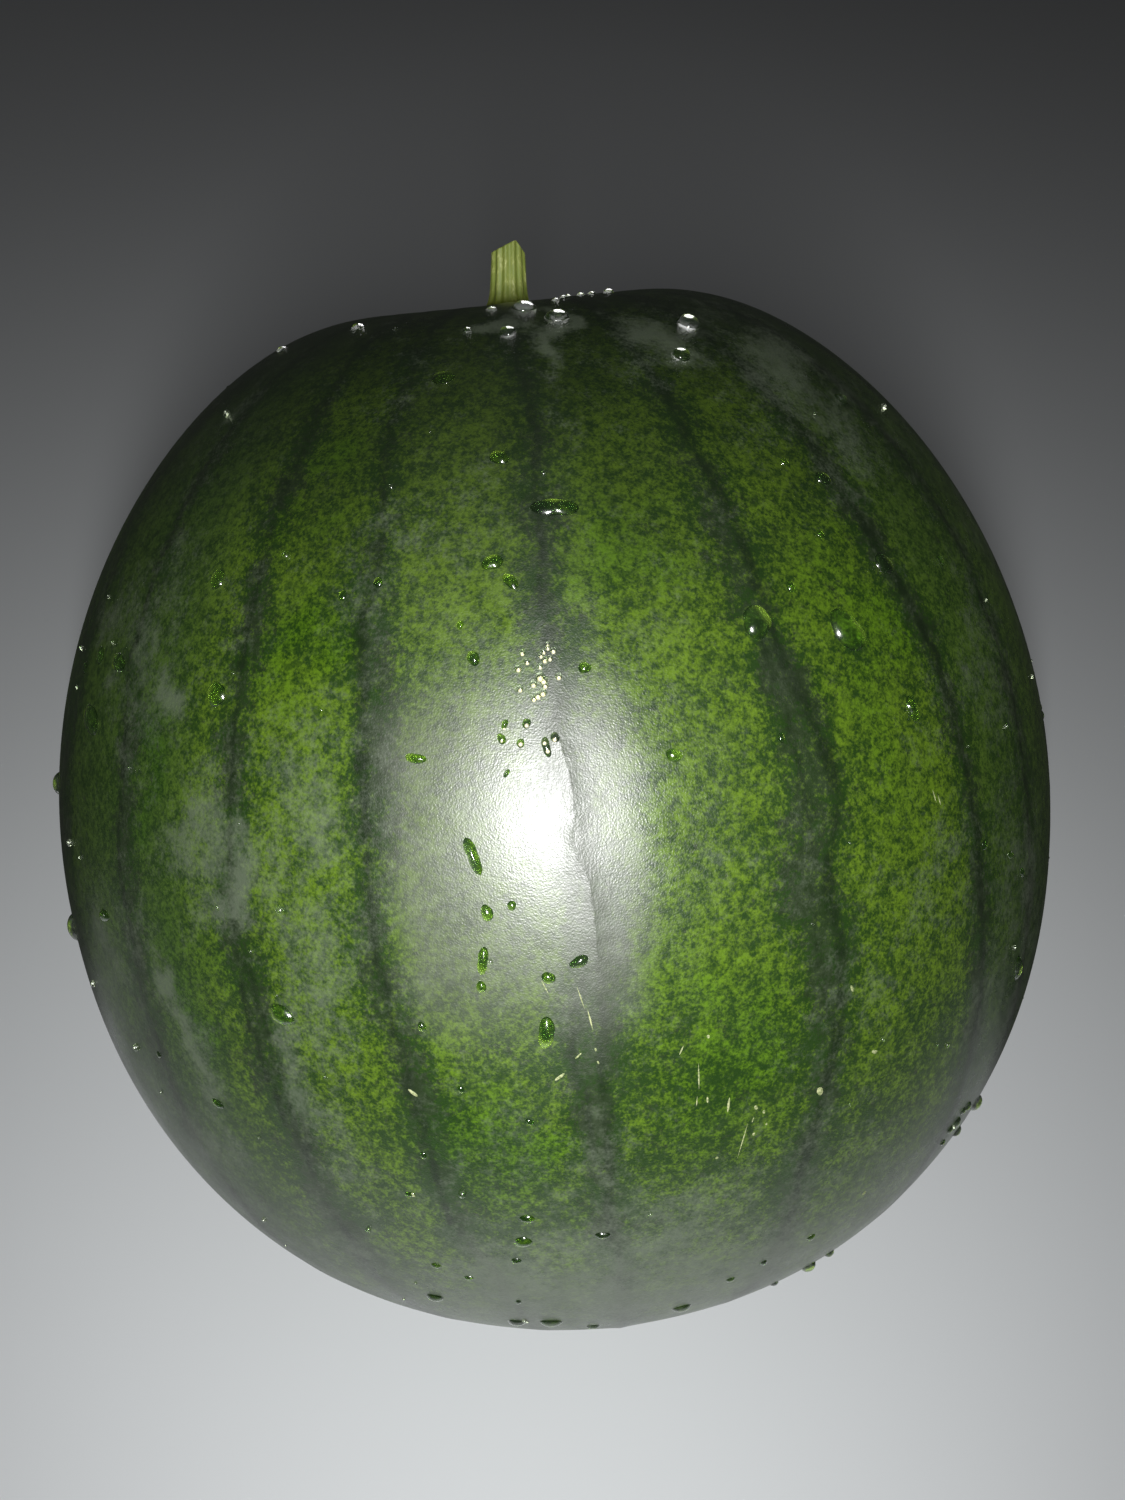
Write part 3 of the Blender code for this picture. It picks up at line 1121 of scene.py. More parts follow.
@dataclass(frozen=True)
class StemFinish:
    """The pale yellow-green stalk with its fibres, browner where it was cut."""

    flesh: tuple = tint(142, 152, 72)
    groove: tuple = tint(124, 138, 60)
    crest: tuple = tint(186, 190, 126)
    foot: tuple = tint(126, 142, 36)
    cut: tuple = tint(184, 178, 104)

    def make(self) -> bpy.types.Material:
        """Builds the material."""
        paint = Paint("stem skin")
        height = paint.attribute("height")
        rib = paint.attribute("rib")
        end = paint.attribute("cut")
        stretch = paint.node(
            "ShaderNodeMapping", {}, {"Vector": paint.place, "Scale": (1.0, 1.0, 0.18)}
        ).outputs[0]
        fibre = paint.grain(0.35 * MM, 3.0, 0.6, place=stretch)
        strand = paint.grain(1.1 * MM, 2.0, 0.5, 0.1, stretch)
        stain = paint.grain(1.6 * MM, 2.0)
        streaks = 0.18 * rib + 1.6 * (fibre - 0.5) + 1.7 * (strand - 0.5)
        colour = paint.mix(paint.ramp(streaks, -0.15, 0.5), self.groove, self.flesh)
        colour = paint.mix(paint.ramp(streaks, 0.25, 0.8), colour, self.crest)
        colour = paint.mix(0.7 * paint.ramp(height + 0.4 * (stain - 0.5), 0.35, 0.0), colour, self.foot)
        colour = paint.mix(0.85 * end, colour, self.cut)
        colour = paint.mix(0.4 * paint.ramp(stain, 0.55, 0.75), colour, self.groove)
        paint.set(
            Base_Color=colour,
            Roughness=0.42 + 0.3 * fibre,
            Normal=paint.bump(0.05 * MM * fibre + 0.02 * MM * stain),
        )
        return paint.material


@dataclass
class Stem:
    """The cut stub of the stem, ribbed, flared at its foot and rooted in the skin."""

    skin: Skin
    finish: StemFinish = StemFinish()
    length: float = 10.7 * MM
    radius: float = 3.1 * MM
    taper: float = 0.14
    flare: float = 0.9 * MM
    flare_height: float = 1.3 * MM
    tilt: float = math.radians(5.8)
    gap: float = 0.3 * MM
    ribs: int = 13
    rib_height: float = 0.14 * MM
    rib_at: float = math.radians(-10.0)
    cut_peak: float = 1.25 * MM
    cut_left_slope: float = math.tan(math.radians(26.0))
    cut_right_slope: float = math.tan(math.radians(55.0))
    root: float = 1.2 * MM
    around: int = 182
    levels: int = 56
    cap_rings: int = 14

    def build(self) -> bpy.types.Object:
        """Builds the stem and dresses it.

        Returns:
            The finished object.
        """
        rows, height, rib, cut = self.rows()
        place = self.placing()
        points = [place @ Vector(point) for row in rows for point in row]
        mesh = bpy.data.meshes.new("melon_stem")
        mesh.from_pydata(points, [], self.faces(len(rows)))
        for name, values in (("height", height), ("rib", rib), ("cut", cut)):
            keep(mesh, name, np.concatenate(values))
        mesh.materials.append(self.finish.make())
        mesh.shade_smooth()
        made = bpy.data.objects.new("melon_stem", mesh)
        bpy.context.scene.collection.objects.link(made)
        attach(made, BODY)
        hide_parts("stem")
        return made

    def placing(self) -> Matrix:
        """The matrix from the upright stem to where it lies."""
        foot = Vector((0, 0, self.skin.stem_end - self.skin.dish_depth + self.gap))
        upright = Matrix.Translation(foot) @ Matrix.Rotation(-self.tilt, 4, "X")
        return self.skin.placing() @ upright

    def cut_height(self, across: np.ndarray) -> np.ndarray:
        """The height of the cut end, with its peak a little worn."""
        left = self.length - self.cut_left_slope * (self.cut_peak - across)
        right = self.length - self.cut_right_slope * (across - self.cut_peak)
        worn = 0.12 * MM
        return np.minimum(left, right) - worn * np.exp(-np.abs(left - right) / (4 * worn))

    def rows(self) -> tuple[list, list, list, list]:
        """Works out the rings of points from the root to the middle of the cut.

        Returns:
            The rings, and for each ring its points' height, rib and cut shares.
        """
        turn = np.linspace(0, math.tau, self.around, endpoint=False)
        wave = np.cos(self.ribs * (turn - self.rib_at))
        uneven = 1 + 0.35 * np.cos(3 * turn + 1) * np.cos(5 * turn + 2)
        rows, heights, ribs, cuts = [], [], [], []

        def ring(level: float, share: float, shrink: float, cut: float) -> None:
            """Adds one ring at a level, with the share of the cut's slant that it takes."""
            plain = self.radius * (1 - self.taper * level / self.length)
            flared = plain + self.flare * math.exp(-level / self.flare_height)
            spread = flared + self.rib_height * wave * uneven * (1 - 0.5 * cut)
            radius = shrink * spread
            across = radius * np.sin(turn)
            dent = 0.25 * MM * cut * (1 - shrink) * 1.6
            up = share * self.cut_height(across) - dent if share > 0 else np.full_like(turn, level)
            rows.append(np.stack([radius * np.cos(turn), across, up], 1))
            heights.append(np.full(self.around, max(level, 0.0) / self.length))
            ribs.append(0.5 + 0.5 * wave)
            cuts.append(np.full(self.around, cut))

        for level in np.linspace(-self.root, 0, 4)[:-1]:
            ring(level, 0.0, 1.0 + 0.02 * level / self.root, 0.0)
        for step in range(1, self.levels + 1):
            share = (step / self.levels) ** 1.3
            ring(share * self.length, share, 1.0, 0.0)
        for step in range(1, self.cap_rings + 1):
            ring(self.length, 1.0, 1 - step / (self.cap_rings + 0.4), 1.0)
        return rows, heights, ribs, cuts

    def faces(self, rings: int) -> list[tuple[int, ...]]:
        """The faces between the rings, with a lid at each end."""
        count = self.around
        faces = [tuple(range(count - 1, -1, -1))]
        for ring in range(rings - 1):
            for index in range(count):
                after = (index + 1) % count
                low, high = ring * count, (ring + 1) * count
                faces.append((low + index, low + after, high + after, high + index))
        faces.append(tuple((rings - 1) * count + index for index in range(count)))
        return faces


@dataclass(frozen=True)
class WaterFinish:
    """Clear water, which lets the lights through to the skin under it."""

    refraction: float = 1.33
    roughness: float = 0.05
    glint_index: float = 1.9
    glint_roughness: float = 0.16
    shade: tuple = (0.92, 0.97, 0.92, 1.0)
    body: tuple = (1.0, 1.0, 1.0, 1.0)

    def make(self) -> bpy.types.Material:
        """Builds the material."""
        paint = Paint("water")
        paint.set(
            Base_Color=self.body,
            Roughness=self.roughness,
            IOR=self.refraction,
            Transmission_Weight=1.0,
            Coat_Weight=1.0,
            Coat_IOR=self.glint_index,
            Coat_Roughness=self.glint_roughness,
        )
        lamp_rays = paint.node("ShaderNodeLightPath").outputs["Is Shadow Ray"]
        clear = paint.node("ShaderNodeBsdfTransparent", {}, {"Color": self.shade})
        both = paint.node(
            "ShaderNodeMixShader", {}, {0: lamp_rays, 1: paint.shader.outputs[0], 2: clear.outputs[0]}
        )
        output = paint.nodes.nodes["Material Output"]
        paint.nodes.links.new(both.outputs[0], output.inputs["Surface"])
        return paint.material


# The beads' water is tinted dark olive: painted shade, for their dark look.
SHADED_BEAD_WATER = WaterFinish(glint_roughness=0.3, body=(0.6, 0.68, 0.45, 1.0))


@dataclass(frozen=True)
class Drop:
    """One drop of water: where it stands, its length, its width and how it is turned.

    The turn is from straight down the melon towards the right, in degrees. A drop
    with a pinch is drawn in at its waist, as two drops that have met.
    """

    longitude: float
    colatitude: float
    length: float
    width: float
    turn: float = 0.0
    pinch: float = 0.0
    contact: float = 58.0

    def stands_tall(self) -> bool:
        """Whether it is one of the round drops on the crown."""
        return self.contact >= 70 and self.colatitude < 33

    def outline(self, angle: float, draw: Sequence[float]) -> float:
        """The distance from its middle to its edge, in metres.

        Args:
            angle: The direction, from its long axis, in radians.
            draw: Three random numbers that keep the edge from being a true ellipse.

        Returns:
            The distance.
        """
        long = self.length / 2 * MM
        wide = self.width / 2 * MM
        plain = long * wide / math.hypot(wide * math.cos(angle), long * math.sin(angle))
        waist = 1 - self.pinch * math.sin(angle) ** 2
        wobble = 1 + 0.05 * math.cos(2 * angle + draw[0]) + 0.04 * math.cos(3 * angle + draw[1])
        return plain * waist * (wobble + 0.025 * math.cos(5 * angle + draw[2]))

    def rise(self, share: float) -> float:
        """The height of its surface at a share of the way to its edge, in metres."""
        reach = math.sqrt(self.length * self.width) / 2 * MM
        contact = math.radians(self.contact)
        round_top = 1 / math.sin(contact)
        cap = math.sqrt(max(round_top**2 - share**2, 0.0)) - 1 / math.tan(contact)
        flat = 1 / (1 + 0.12 * reach / MM)
        return reach * cap * flat


DROPS = (
    Drop(32.2, 61.2, 6.6, 4.7, 35), Drop(22, 58.7, 5.0, 3.8, -12), Drop(27.2, 56.3, 1.7, 1.5),
    Drop(41, 56.4, 3.5, 2.9, 60), Drop(37.5, 69.6, 4.2, 2.1, 5, 0.1), Drop(-8, 75, 5.3, 1.8, 18, 0.22),
    Drop(-12.7, 66.6, 2.8, 1.3, 80), Drop(-6.8, 58.5, 2.2, 1.5, 20), Drop(3.8, 60.2, 1.8, 1.4, 90),
    Drop(-8, 55.6, 1.2, 0.9), Drop(-4.2, 64.2, 1.3, 0.8, -25), Drop(-4.6, 65.4, 1.6, 1.0, 20),
    Drop(-2.2, 64.3, 1.3, 1.1, -20), Drop(-2.9, 65.9, 1.2, 1.0), Drop(-0.6, 66.4, 2.6, 1.2, 8, 0.15),
    Drop(0.3, 65.7, 1.3, 1.2), Drop(-4.4, 68.3, 1.2, 0.6, -35), Drop(10.9, 68.5, 2.2, 1.7, 80),
    Drop(-7.2, 80, 2.4, 1.5, 15), Drop(-5, 79.5, 1.4, 1.1), Drop(-8, 84.2, 3.8, 1.5, -12, 0.1),
    Drop(-8.4, 86.6, 1.5, 1.4), Drop(-2.5, 86.2, 2.0, 1.5, 60), Drop(0.3, 85, 2.8, 1.5, 110),
    Drop(-3.2, 91.3, 4.6, 2.3, -8, 0.08), Drop(-14.2, 90.3, 1.4, 1.2), Drop(-28, 90, 3.9, 3.0, 80),
    Drop(-11.5, 96.6, 1.2, 1.0), Drop(-5.7, 100.3, 1.4, 1.0, 40), Drop(-16.3, 104, 1.2, 1.0),
    Drop(-18.8, 109, 1.6, 0.9, 90), Drop(-7.5, 112, 2.4, 1.5, 80), Drop(-8.5, 115.4, 2.6, 2.3, 90),
    Drop(-0.3, 115.1, 2.2, 1.5, 80), Drop(-9.8, 118.5, 1.6, 1.3, 90), Drop(-19.2, 120, 1.7, 1.2, 90),
    Drop(-16, 122, 1.5, 0.9, 90), Drop(-22.5, 127.8, 2.8, 2.3, 90), Drop(-11.5, 127.2, 1.4, 1.0),
    Drop(-14, 134.6, 3.0, 2.4, 90), Drop(-9, 134.4, 3.6, 2.7, 90), Drop(9.5, 134.8, 3.2, 2.4, 90),
    Drop(-3.5, 138, 2.2, 1.6, 90), Drop(25, 124.8, 1.6, 1.4), Drop(15, 128.8, 1.6, 1.2, 90),
    Drop(19, 126.8, 1.5, 1.2), Drop(-35, 61.4, 3.6, 3.1, 10), Drop(-38.5, 51.2, 2.8, 2.6),
    Drop(-12, 30.7, 3.2, 2.9, 90, 0, 44), Drop(-3, 40.6, 3.0, 2.2, 60, 0.1), Drop(3, 46, 6.8, 2.7, 82, 0.08, 42),
    Drop(-4.4, 50.4, 3.0, 2.2, 110, 0.1, 44), Drop(-2.6, 52.2, 2.6, 1.7, 40, 0.1, 44),
    Drop(-17, 51.5, 1.5, 1.3), Drop(-21, 52.5, 1.5, 1.2), Drop(38.5, 26.6, 3.6, 3.3, 0, 0, 80),
    Drop(29.5, 31.3, 2.7, 2.6, 0, 0, 80), Drop(11.5, 22, 3.6, 3.2, 90, 0, 70),
    Drop(4.5, 18.4, 3.8, 3.4, 70, 0, 72), Drop(-0.5, 24.6, 2.4, 2.3, 0, 0, 78),
    Drop(-9.5, 23.2, 1.4, 1.3, 0, 0, 75), Drop(-5, 17.6, 1.6, 1.3, 90, 0, 70),
    Drop(-46, 19.8, 2.6, 2.0, 90, 0, 70), Drop(-30, 21, 1.1, 1.0), 
    Drop(16, 16, 1.3, 1.2, 0, 0, 75), Drop(22, 13.8, 1.2, 1.1, 0, 0, 75), Drop(29, 11.7, 1.3, 1.2, 0, 0, 75),
    Drop(33, 12.6, 1.4, 1.3, 0, 0, 75), Drop(39, 12.6, 1.4, 1.3, 0, 0, 75), Drop(46.5, 13.2, 2.0, 1.8, 0, 0, 78),
    Drop(-71.5, 24.2, 1.8, 1.6, 0, 0, 70),
    Drop(-73, 76, 3.6, 3.0, 0, 0, 70), Drop(-70, 91.5, 4.6, 3.4, 0, 0, 70), Drop(54, 102, 4.4, 2.0, 10, 0.1, 64),
    Drop(56.5, 121, 3.0, 2.6, 0, 0, 76), Drop(54, 124, 2.2, 2.0, 0, 0, 70), Drop(32, 137.4, 2.8, 2.5, 0, 0, 78),
    Drop(35, 136, 2.0, 1.8, 0, 0, 70), Drop(26.5, 139, 1.8, 1.6), Drop(-59.1, 60, 3.4, 2.6, 60, 0, 34),
    Drop(-53.4, 60, 4.8, 2.6, 80, 0, 36), Drop(-57.9, 66.2, 7.0, 4.2, 80, 0, 34), Drop(-53, 84.8, 3.4, 1.9, 100),
    Drop(-63.9, 61.9, 2.4, 1.6, 60, 0, 40),
    Drop(-39, 101.5, 2.4, 1.4, 70), Drop(-47, 98.2, 1.2, 1.0), Drop(45, 85, 1.6, 1.3), Drop(50.5, 88, 2.0, 1.2, 60),
    Drop(21.5, 68.8, 1.3, 1.0), Drop(33.7, 52.3, 1.4, 1.2), Drop(38.5, 47.3, 2.6, 2.0, 70), Drop(55, 39.8, 2.6, 2.2, 60),
    Drop(52, 58, 1.8, 1.5), Drop(34, 45, 1.6, 1.2, 60), Drop(53.5, 91, 1.8, 1.2, 30),
    Drop(48, 119, 2.2, 1.9, 0, 0, 70), Drop(46.5, 119.2, 1.6, 1.4, 0, 0, 70), Drop(48.5, 117.6, 1.4, 1.2, 0, 0, 70),
    Drop(50, 117.8, 1.8, 1.5, 0, 0, 70), Drop(46.5, 121.2, 1.3, 1.2, 0, 0, 70),
)


SCUFFS = (
    Drop(0.1, 88.4, 3.4, 0.14, 12, 0, 14), Drop(0.7, 90.5, 3.4, 0.22, 8, 0, 14),
    Drop(-0.7, 93.9, 1.2, 0.24, -50, 0, 16), Drop(-2.5, 95.8, 1.7, 0.4, -55, 0, 16),
    Drop(0.9, 93.4, 0.5, 0.26, 0, 0, 18), Drop(1.0, 94.7, 0.5, 0.24, 20, 0, 18),
    Drop(-2.9, 87.0, 2.0, 0.16, 20, 0, 14), Drop(9.9, 97.8, 4.4, 0.22, -2, 0, 15),
    Drop(8.5, 94.8, 1.6, 0.2, -28, 0, 16), Drop(9.6, 100.4, 1.7, 0.16, -6, 0, 14),
    Drop(10.6, 100.5, 1.0, 0.26, 0, 0, 16), Drop(12.6, 101.6, 2.6, 0.36, -8, 0, 16),
    Drop(14.0, 106.0, 6.4, 0.18, -14, 0, 14), Drop(15.3, 102.6, 0.8, 0.5, 30, 0, 18),
    Drop(16.1, 103.3, 0.6, 0.4, 0, 0, 18), Drop(15.0, 103.9, 0.9, 0.16, -20, 0, 14),
    Drop(16.4, 104.8, 0.4, 0.3, 0, 0, 18), Drop(15.1, 105.6, 0.5, 0.4, 0, 0, 18),
    Drop(11.4, 107.4, 0.45, 0.4, 0, 0, 18), Drop(22.0, 102.8, 1.5, 0.9, 20, 0, 20),
    Drop(25.5, 93.0, 1.1, 0.4, 20, 0, 18), Drop(28.2, 100.6, 1.0, 0.6, 60, 0, 20),
    Drop(31.0, 120.2, 0.9, 0.7, 0, 0, 20), Drop(-16.0, 97.0, 1.7, 0.5, 45, 0, 20),
    Drop(-18.5, 109.0, 0.9, 0.5, 20, 0, 18), Drop(37.9, 78.0, 2.0, 0.2, 10, 0, 14),
    Drop(38.5, 78.5, 1.7, 0.18, 10, 0, 14), Drop(11.0, 94.0, 0.5, 0.4, 0, 0, 18),
    Drop(130, 84, 5.2, 0.3, 10, 0, 16), Drop(133, 86, 2.4, 0.3, 25, 0, 16),
    Drop(165, 110, 4.0, 0.35, 70, 0, 16), Drop(214, 72, 3.4, 0.3, -15, 0, 16),
    Drop(246, 98, 1.6, 0.6, 30, 0, 20), Drop(98, 70, 1.4, 0.6, 50, 0, 20),
)


@dataclass(frozen=True)
class HiddenDrops:
    """Drops where the front doesn't show any, strewn by rule and mostly hanging downwards."""

    count: int = 42
    first: float = 72.0
    last: float = 278.0
    seed: int = 12

    def strew(self) -> tuple[Drop, ...]:
        """Draws each drop's place, size and turn."""
        draw = random.Random(self.seed)
        drops = []
        for _ in range(self.count):
            length = draw.choice((1.2, 1.5, 1.9, 2.4, 3.2, 4.4))
            width = length * draw.uniform(0.55, 0.95)
            colatitude = math.degrees(math.acos(draw.uniform(-0.6, 0.9)))
            turn = draw.gauss(0.0, 30.0)
            drops.append(Drop(draw.uniform(self.first, self.last), colatitude, length, width, turn))
        return tuple(drops)


@dataclass
class Domes:
    """Low closed domes that follow the skin and are sunk a little into it."""

    skin: Skin
    surface: BVHTree
    rings: int = 9
    around: int = 30
    sunk: float = 0.14 * MM
    seed: int = 21

    def grow(
        self,
        name: str,
        drops: Sequence[Drop],
        finish: bpy.types.Material,
        rise: Callable[[Drop, float], float],
        spread: float = 1.0,
    ) -> bpy.types.Object:
        """Builds one dome for each drop, all in one mesh.

        Args:
            name: The object's name.
            drops: Where the domes stand, and their outlines.
            finish: The domes' material.
            rise: Gives a dome's height at a share of the way to its edge, in metres.
            spread: How far the domes fill the outlines.

        Returns:
            The finished object.
        """
        draw = random.Random(self.seed)
        points: list[Vector] = []
        faces: list[tuple[int, ...]] = []
        for drop in drops:
            wobble = [draw.uniform(0, math.tau) for _ in range(3)]
            self.join(len(points), faces)
            points += self.ring_points(drop, wobble, rise, spread)
        mesh = bpy.data.meshes.new(name)
        mesh.from_pydata(points, [], faces)
        mesh.materials.append(finish)
        mesh.shade_smooth()
        made = bpy.data.objects.new(name, mesh)
        bpy.context.scene.collection.objects.link(made)
        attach(made, BODY)
        return made

    def levels(self) -> list[tuple[float, bool]]:
        """Each ring's share of the way to the edge, and whether it lies under the skin."""
        over = [math.sin(ring / self.rings * math.pi / 2) for ring in range(1, self.rings + 1)]
        return [(share, False) for share in over] + [(1.0, True), (0.5, True)]

    def shares(self) -> np.ndarray:
        """The share of the way to the edge, for every point of one dome."""
        rings = [np.full(self.around, share) for share, _ in self.levels()]
        return np.concatenate([[0.0], *rings, [0.0]])

    def ring_points(
        self, drop: Drop, wobble: Sequence[float], rise: Callable[[Drop, float], float], spread: float
    ) -> list[Vector]:
        """The points of one dome, from its top over its rings to its underside."""
        place, along, aside = self.stand(drop)

        def on_skin(share: float, angle: float, height: float) -> Vector:
            """A point over or under the skin."""
            reach = spread * share * drop.outline(angle, wobble)
            aim = place + along * (reach * math.cos(angle)) + aside * (reach * math.sin(angle))
            ground, up, _, _ = self.surface.find_nearest(aim)
            return ground + up * height

        points = [on_skin(0.0, 0.0, rise(drop, 0.0))]
        for share, under in self.levels():
            height = -self.sunk if under else rise(drop, share)
            points += [on_skin(share, math.tau * step / self.around, height) for step in range(self.around)]
        return points + [on_skin(0.0, 0.0, -self.sunk)]

    def stand(self, drop: Drop) -> tuple[Vector, Vector, Vector]:
        """Where a drop stands, and its long and short axes on the skin."""
        middle = self.skin.at(drop.longitude, drop.colatitude)
        down = self.skin.at(drop.longitude, drop.colatitude + 0.5) - middle
        right = self.skin.at(drop.longitude + 0.5, drop.colatitude) - middle
        place, normal, _, _ = self.surface.find_nearest(middle)
        down = (down - normal * down.dot(normal)).normalized()
        side = down.cross(normal)
        side = side if side.dot(right) > 0 else -side
        angle = math.radians(drop.turn)
        along = down * math.cos(angle) + side * math.sin(angle)
        return place, along, normal.cross(along)

    def join(self, first: int, faces: list[tuple[int, ...]]) -> None:
        """Adds the faces of one dome whose points start at an index."""
        rings = len(self.levels())
        last = first + 1 + rings * self.around
        for index in range(self.around):
            after = (index + 1) % self.around
            faces.append((first, first + 1 + index, first + 1 + after))
            for ring in range(rings - 1):
                low = first + 1 + ring * self.around
                high = low + self.around
                faces.append((low + index, high + index, high + after, low + after))
            low = last - self.around
            faces.append((low + index, last, low + after))


@dataclass
class WetSkin:
    """The skin under the drops: thin lenses just over the dry skin, with its markings on them."""

    domes: Domes
    markings: Markings
    finish: WetRindFinish = WetRindFinish()
    lift: float = 0.02 * MM
    spread: float = 0.975
    lit_from: tuple[float, float, float] = (-1.6 * MM, -204.0 * MM, 270.0 * MM)

    def build(self, drops: Sequence[Drop]) -> bpy.types.Object:
        """Builds the lenses under the drops.

        Args:
            drops: The drops that stand on them.

        Returns:
            The finished object.
        """
        finish = self.finish.make()
        made = self.domes.grow("wet_skin", drops, finish, lambda drop, share: self.lift, self.spread)
        mesh = made.data
        places = np.empty(len(mesh.vertices) * 3, np.float32)
        mesh.vertices.foreach_get("co", places)
        places = places.reshape(-1, 3).astype(float)
        skin = self.domes.skin
        ways = skin.ways(places)
        mesh.attributes.new("way", "FLOAT_VECTOR", "POINT").data.foreach_set("vector", ways.ravel())
        self.markings.lay(mesh, Map.of(ways, skin.girth_radius))
        self.gather(mesh, places.reshape(len(drops), -1, 3))
        return made

    def gather(self, mesh: bpy.types.Mesh, places: np.ndarray) -> None:
        """Paints the light that each drop gathers, on its side away from the lamp, and paints shade as its dark
        outline.

        Args:
            mesh: The lenses' mesh.
            places: Their points, by lens, by point, by coordinate.
        """
        shares = self.domes.shares()
        middle = places[:, :1]
        normal = middle - np.array([0.0, 0.0, self.domes.skin.centre_z])
        normal = normal / np.linalg.norm(normal, axis=2, keepdims=True)
        beam = np.array(self.lit_from) - middle
        beam = beam / np.linalg.norm(beam, axis=2, keepdims=True)
        slant = beam - normal * (beam * normal).sum(2, keepdims=True)
        tilt = np.linalg.norm(slant, axis=2, keepdims=True)
        offset = places - middle
        reach = np.linalg.norm(offset, axis=2) + 1e-9
        toward = -(offset * slant / tilt).sum(2) / reach * shares
        glow = np.clip(1.7 * tilt[:, :, 0], 0, 1) * soft_step(toward, 0.3, 0.9)
        keep(mesh, "glow", glow.ravel())
        # Painted shade: a dark outline round each drop, weaker where its light is painted.
        keep(mesh, "rim", (soft_step(shares, 0.8, 1.0) * (1 - 0.8 * glow)).ravel())


@dataclass(frozen=True)
class PaintedGlintFinish:
    """Pale cream domes in the beads and in the middle drops: painted highlights where they show the key light."""

    # Both colours are painted highlight: the cream of the key light's glint.
    wax: tuple = tint(238, 234, 208)
    stain: tuple = tint(222, 212, 160)

    def make(self) -> bpy.types.Material:
        """Builds the material."""
        paint = Paint("bead wax")
        paint.set(Base_Color=paint.mix(paint.grain(1.2 * MM), self.wax, self.stain), Roughness=0.4)
        return paint.material


@dataclass(frozen=True)
class ScuffFinish:
    """Dry pale skin where the rind was scratched."""

    dry: tuple = tint(168, 172, 128)
    dull: tuple = tint(112, 124, 78)

    def make(self) -> bpy.types.Material:
        """Builds the material."""
        paint = Paint("scuff")
        colour = paint.mix(paint.ramp(paint.grain(0.3 * MM), 0.35, 0.65), self.dull, self.dry)
        paint.set(Base_Color=colour, Roughness=0.6)
        return paint.material


CLUSTER = (
    (-2.0, 58.4, 0.42), (-1.6, 59.2, 0.42), (-2.5, 59.7, 0.5), (-2.5, 61.4, 0.46), (-1.2, 61.1, 0.5),
    (-0.5, 60.6, 0.66), (-0.4, 59.7, 0.36), (0.1, 59.2, 0.46), (0.6, 59.1, 0.4), (-0.2, 58.8, 0.4),
    (0.1, 58.5, 0.36), (0.5, 58.2, 0.36), (1.0, 58.5, 0.46), (-0.1, 61.3, 0.46), (-1.3, 62.3, 0.46),
    (-0.9, 62.1, 0.56), (-0.4, 61.9, 0.56), (1.2, 60.7, 0.5), (0.5, 57.9, 0.3), (-0.2, 60.9, 0.56),
)
# Pale domes in the cluster's beads and in the middle drops: painted highlights.
GLINT_SINKS = 0.16
GLINT_SHARE = 0.6
PAINTED_GLINTS = tuple((lon, col + GLINT_SINKS, GLINT_SHARE * radius) for lon, col, radius in CLUSTER) + (
    (-2.9, 66.0, 0.3), (-2.2, 64.5, 0.28), (-0.7, 66.1, 0.26), (-0.5, 66.8, 0.28), (0.25, 65.9, 0.28),
    (-4.6, 65.6, 0.18), (-4.3, 64.6, 0.16),
)


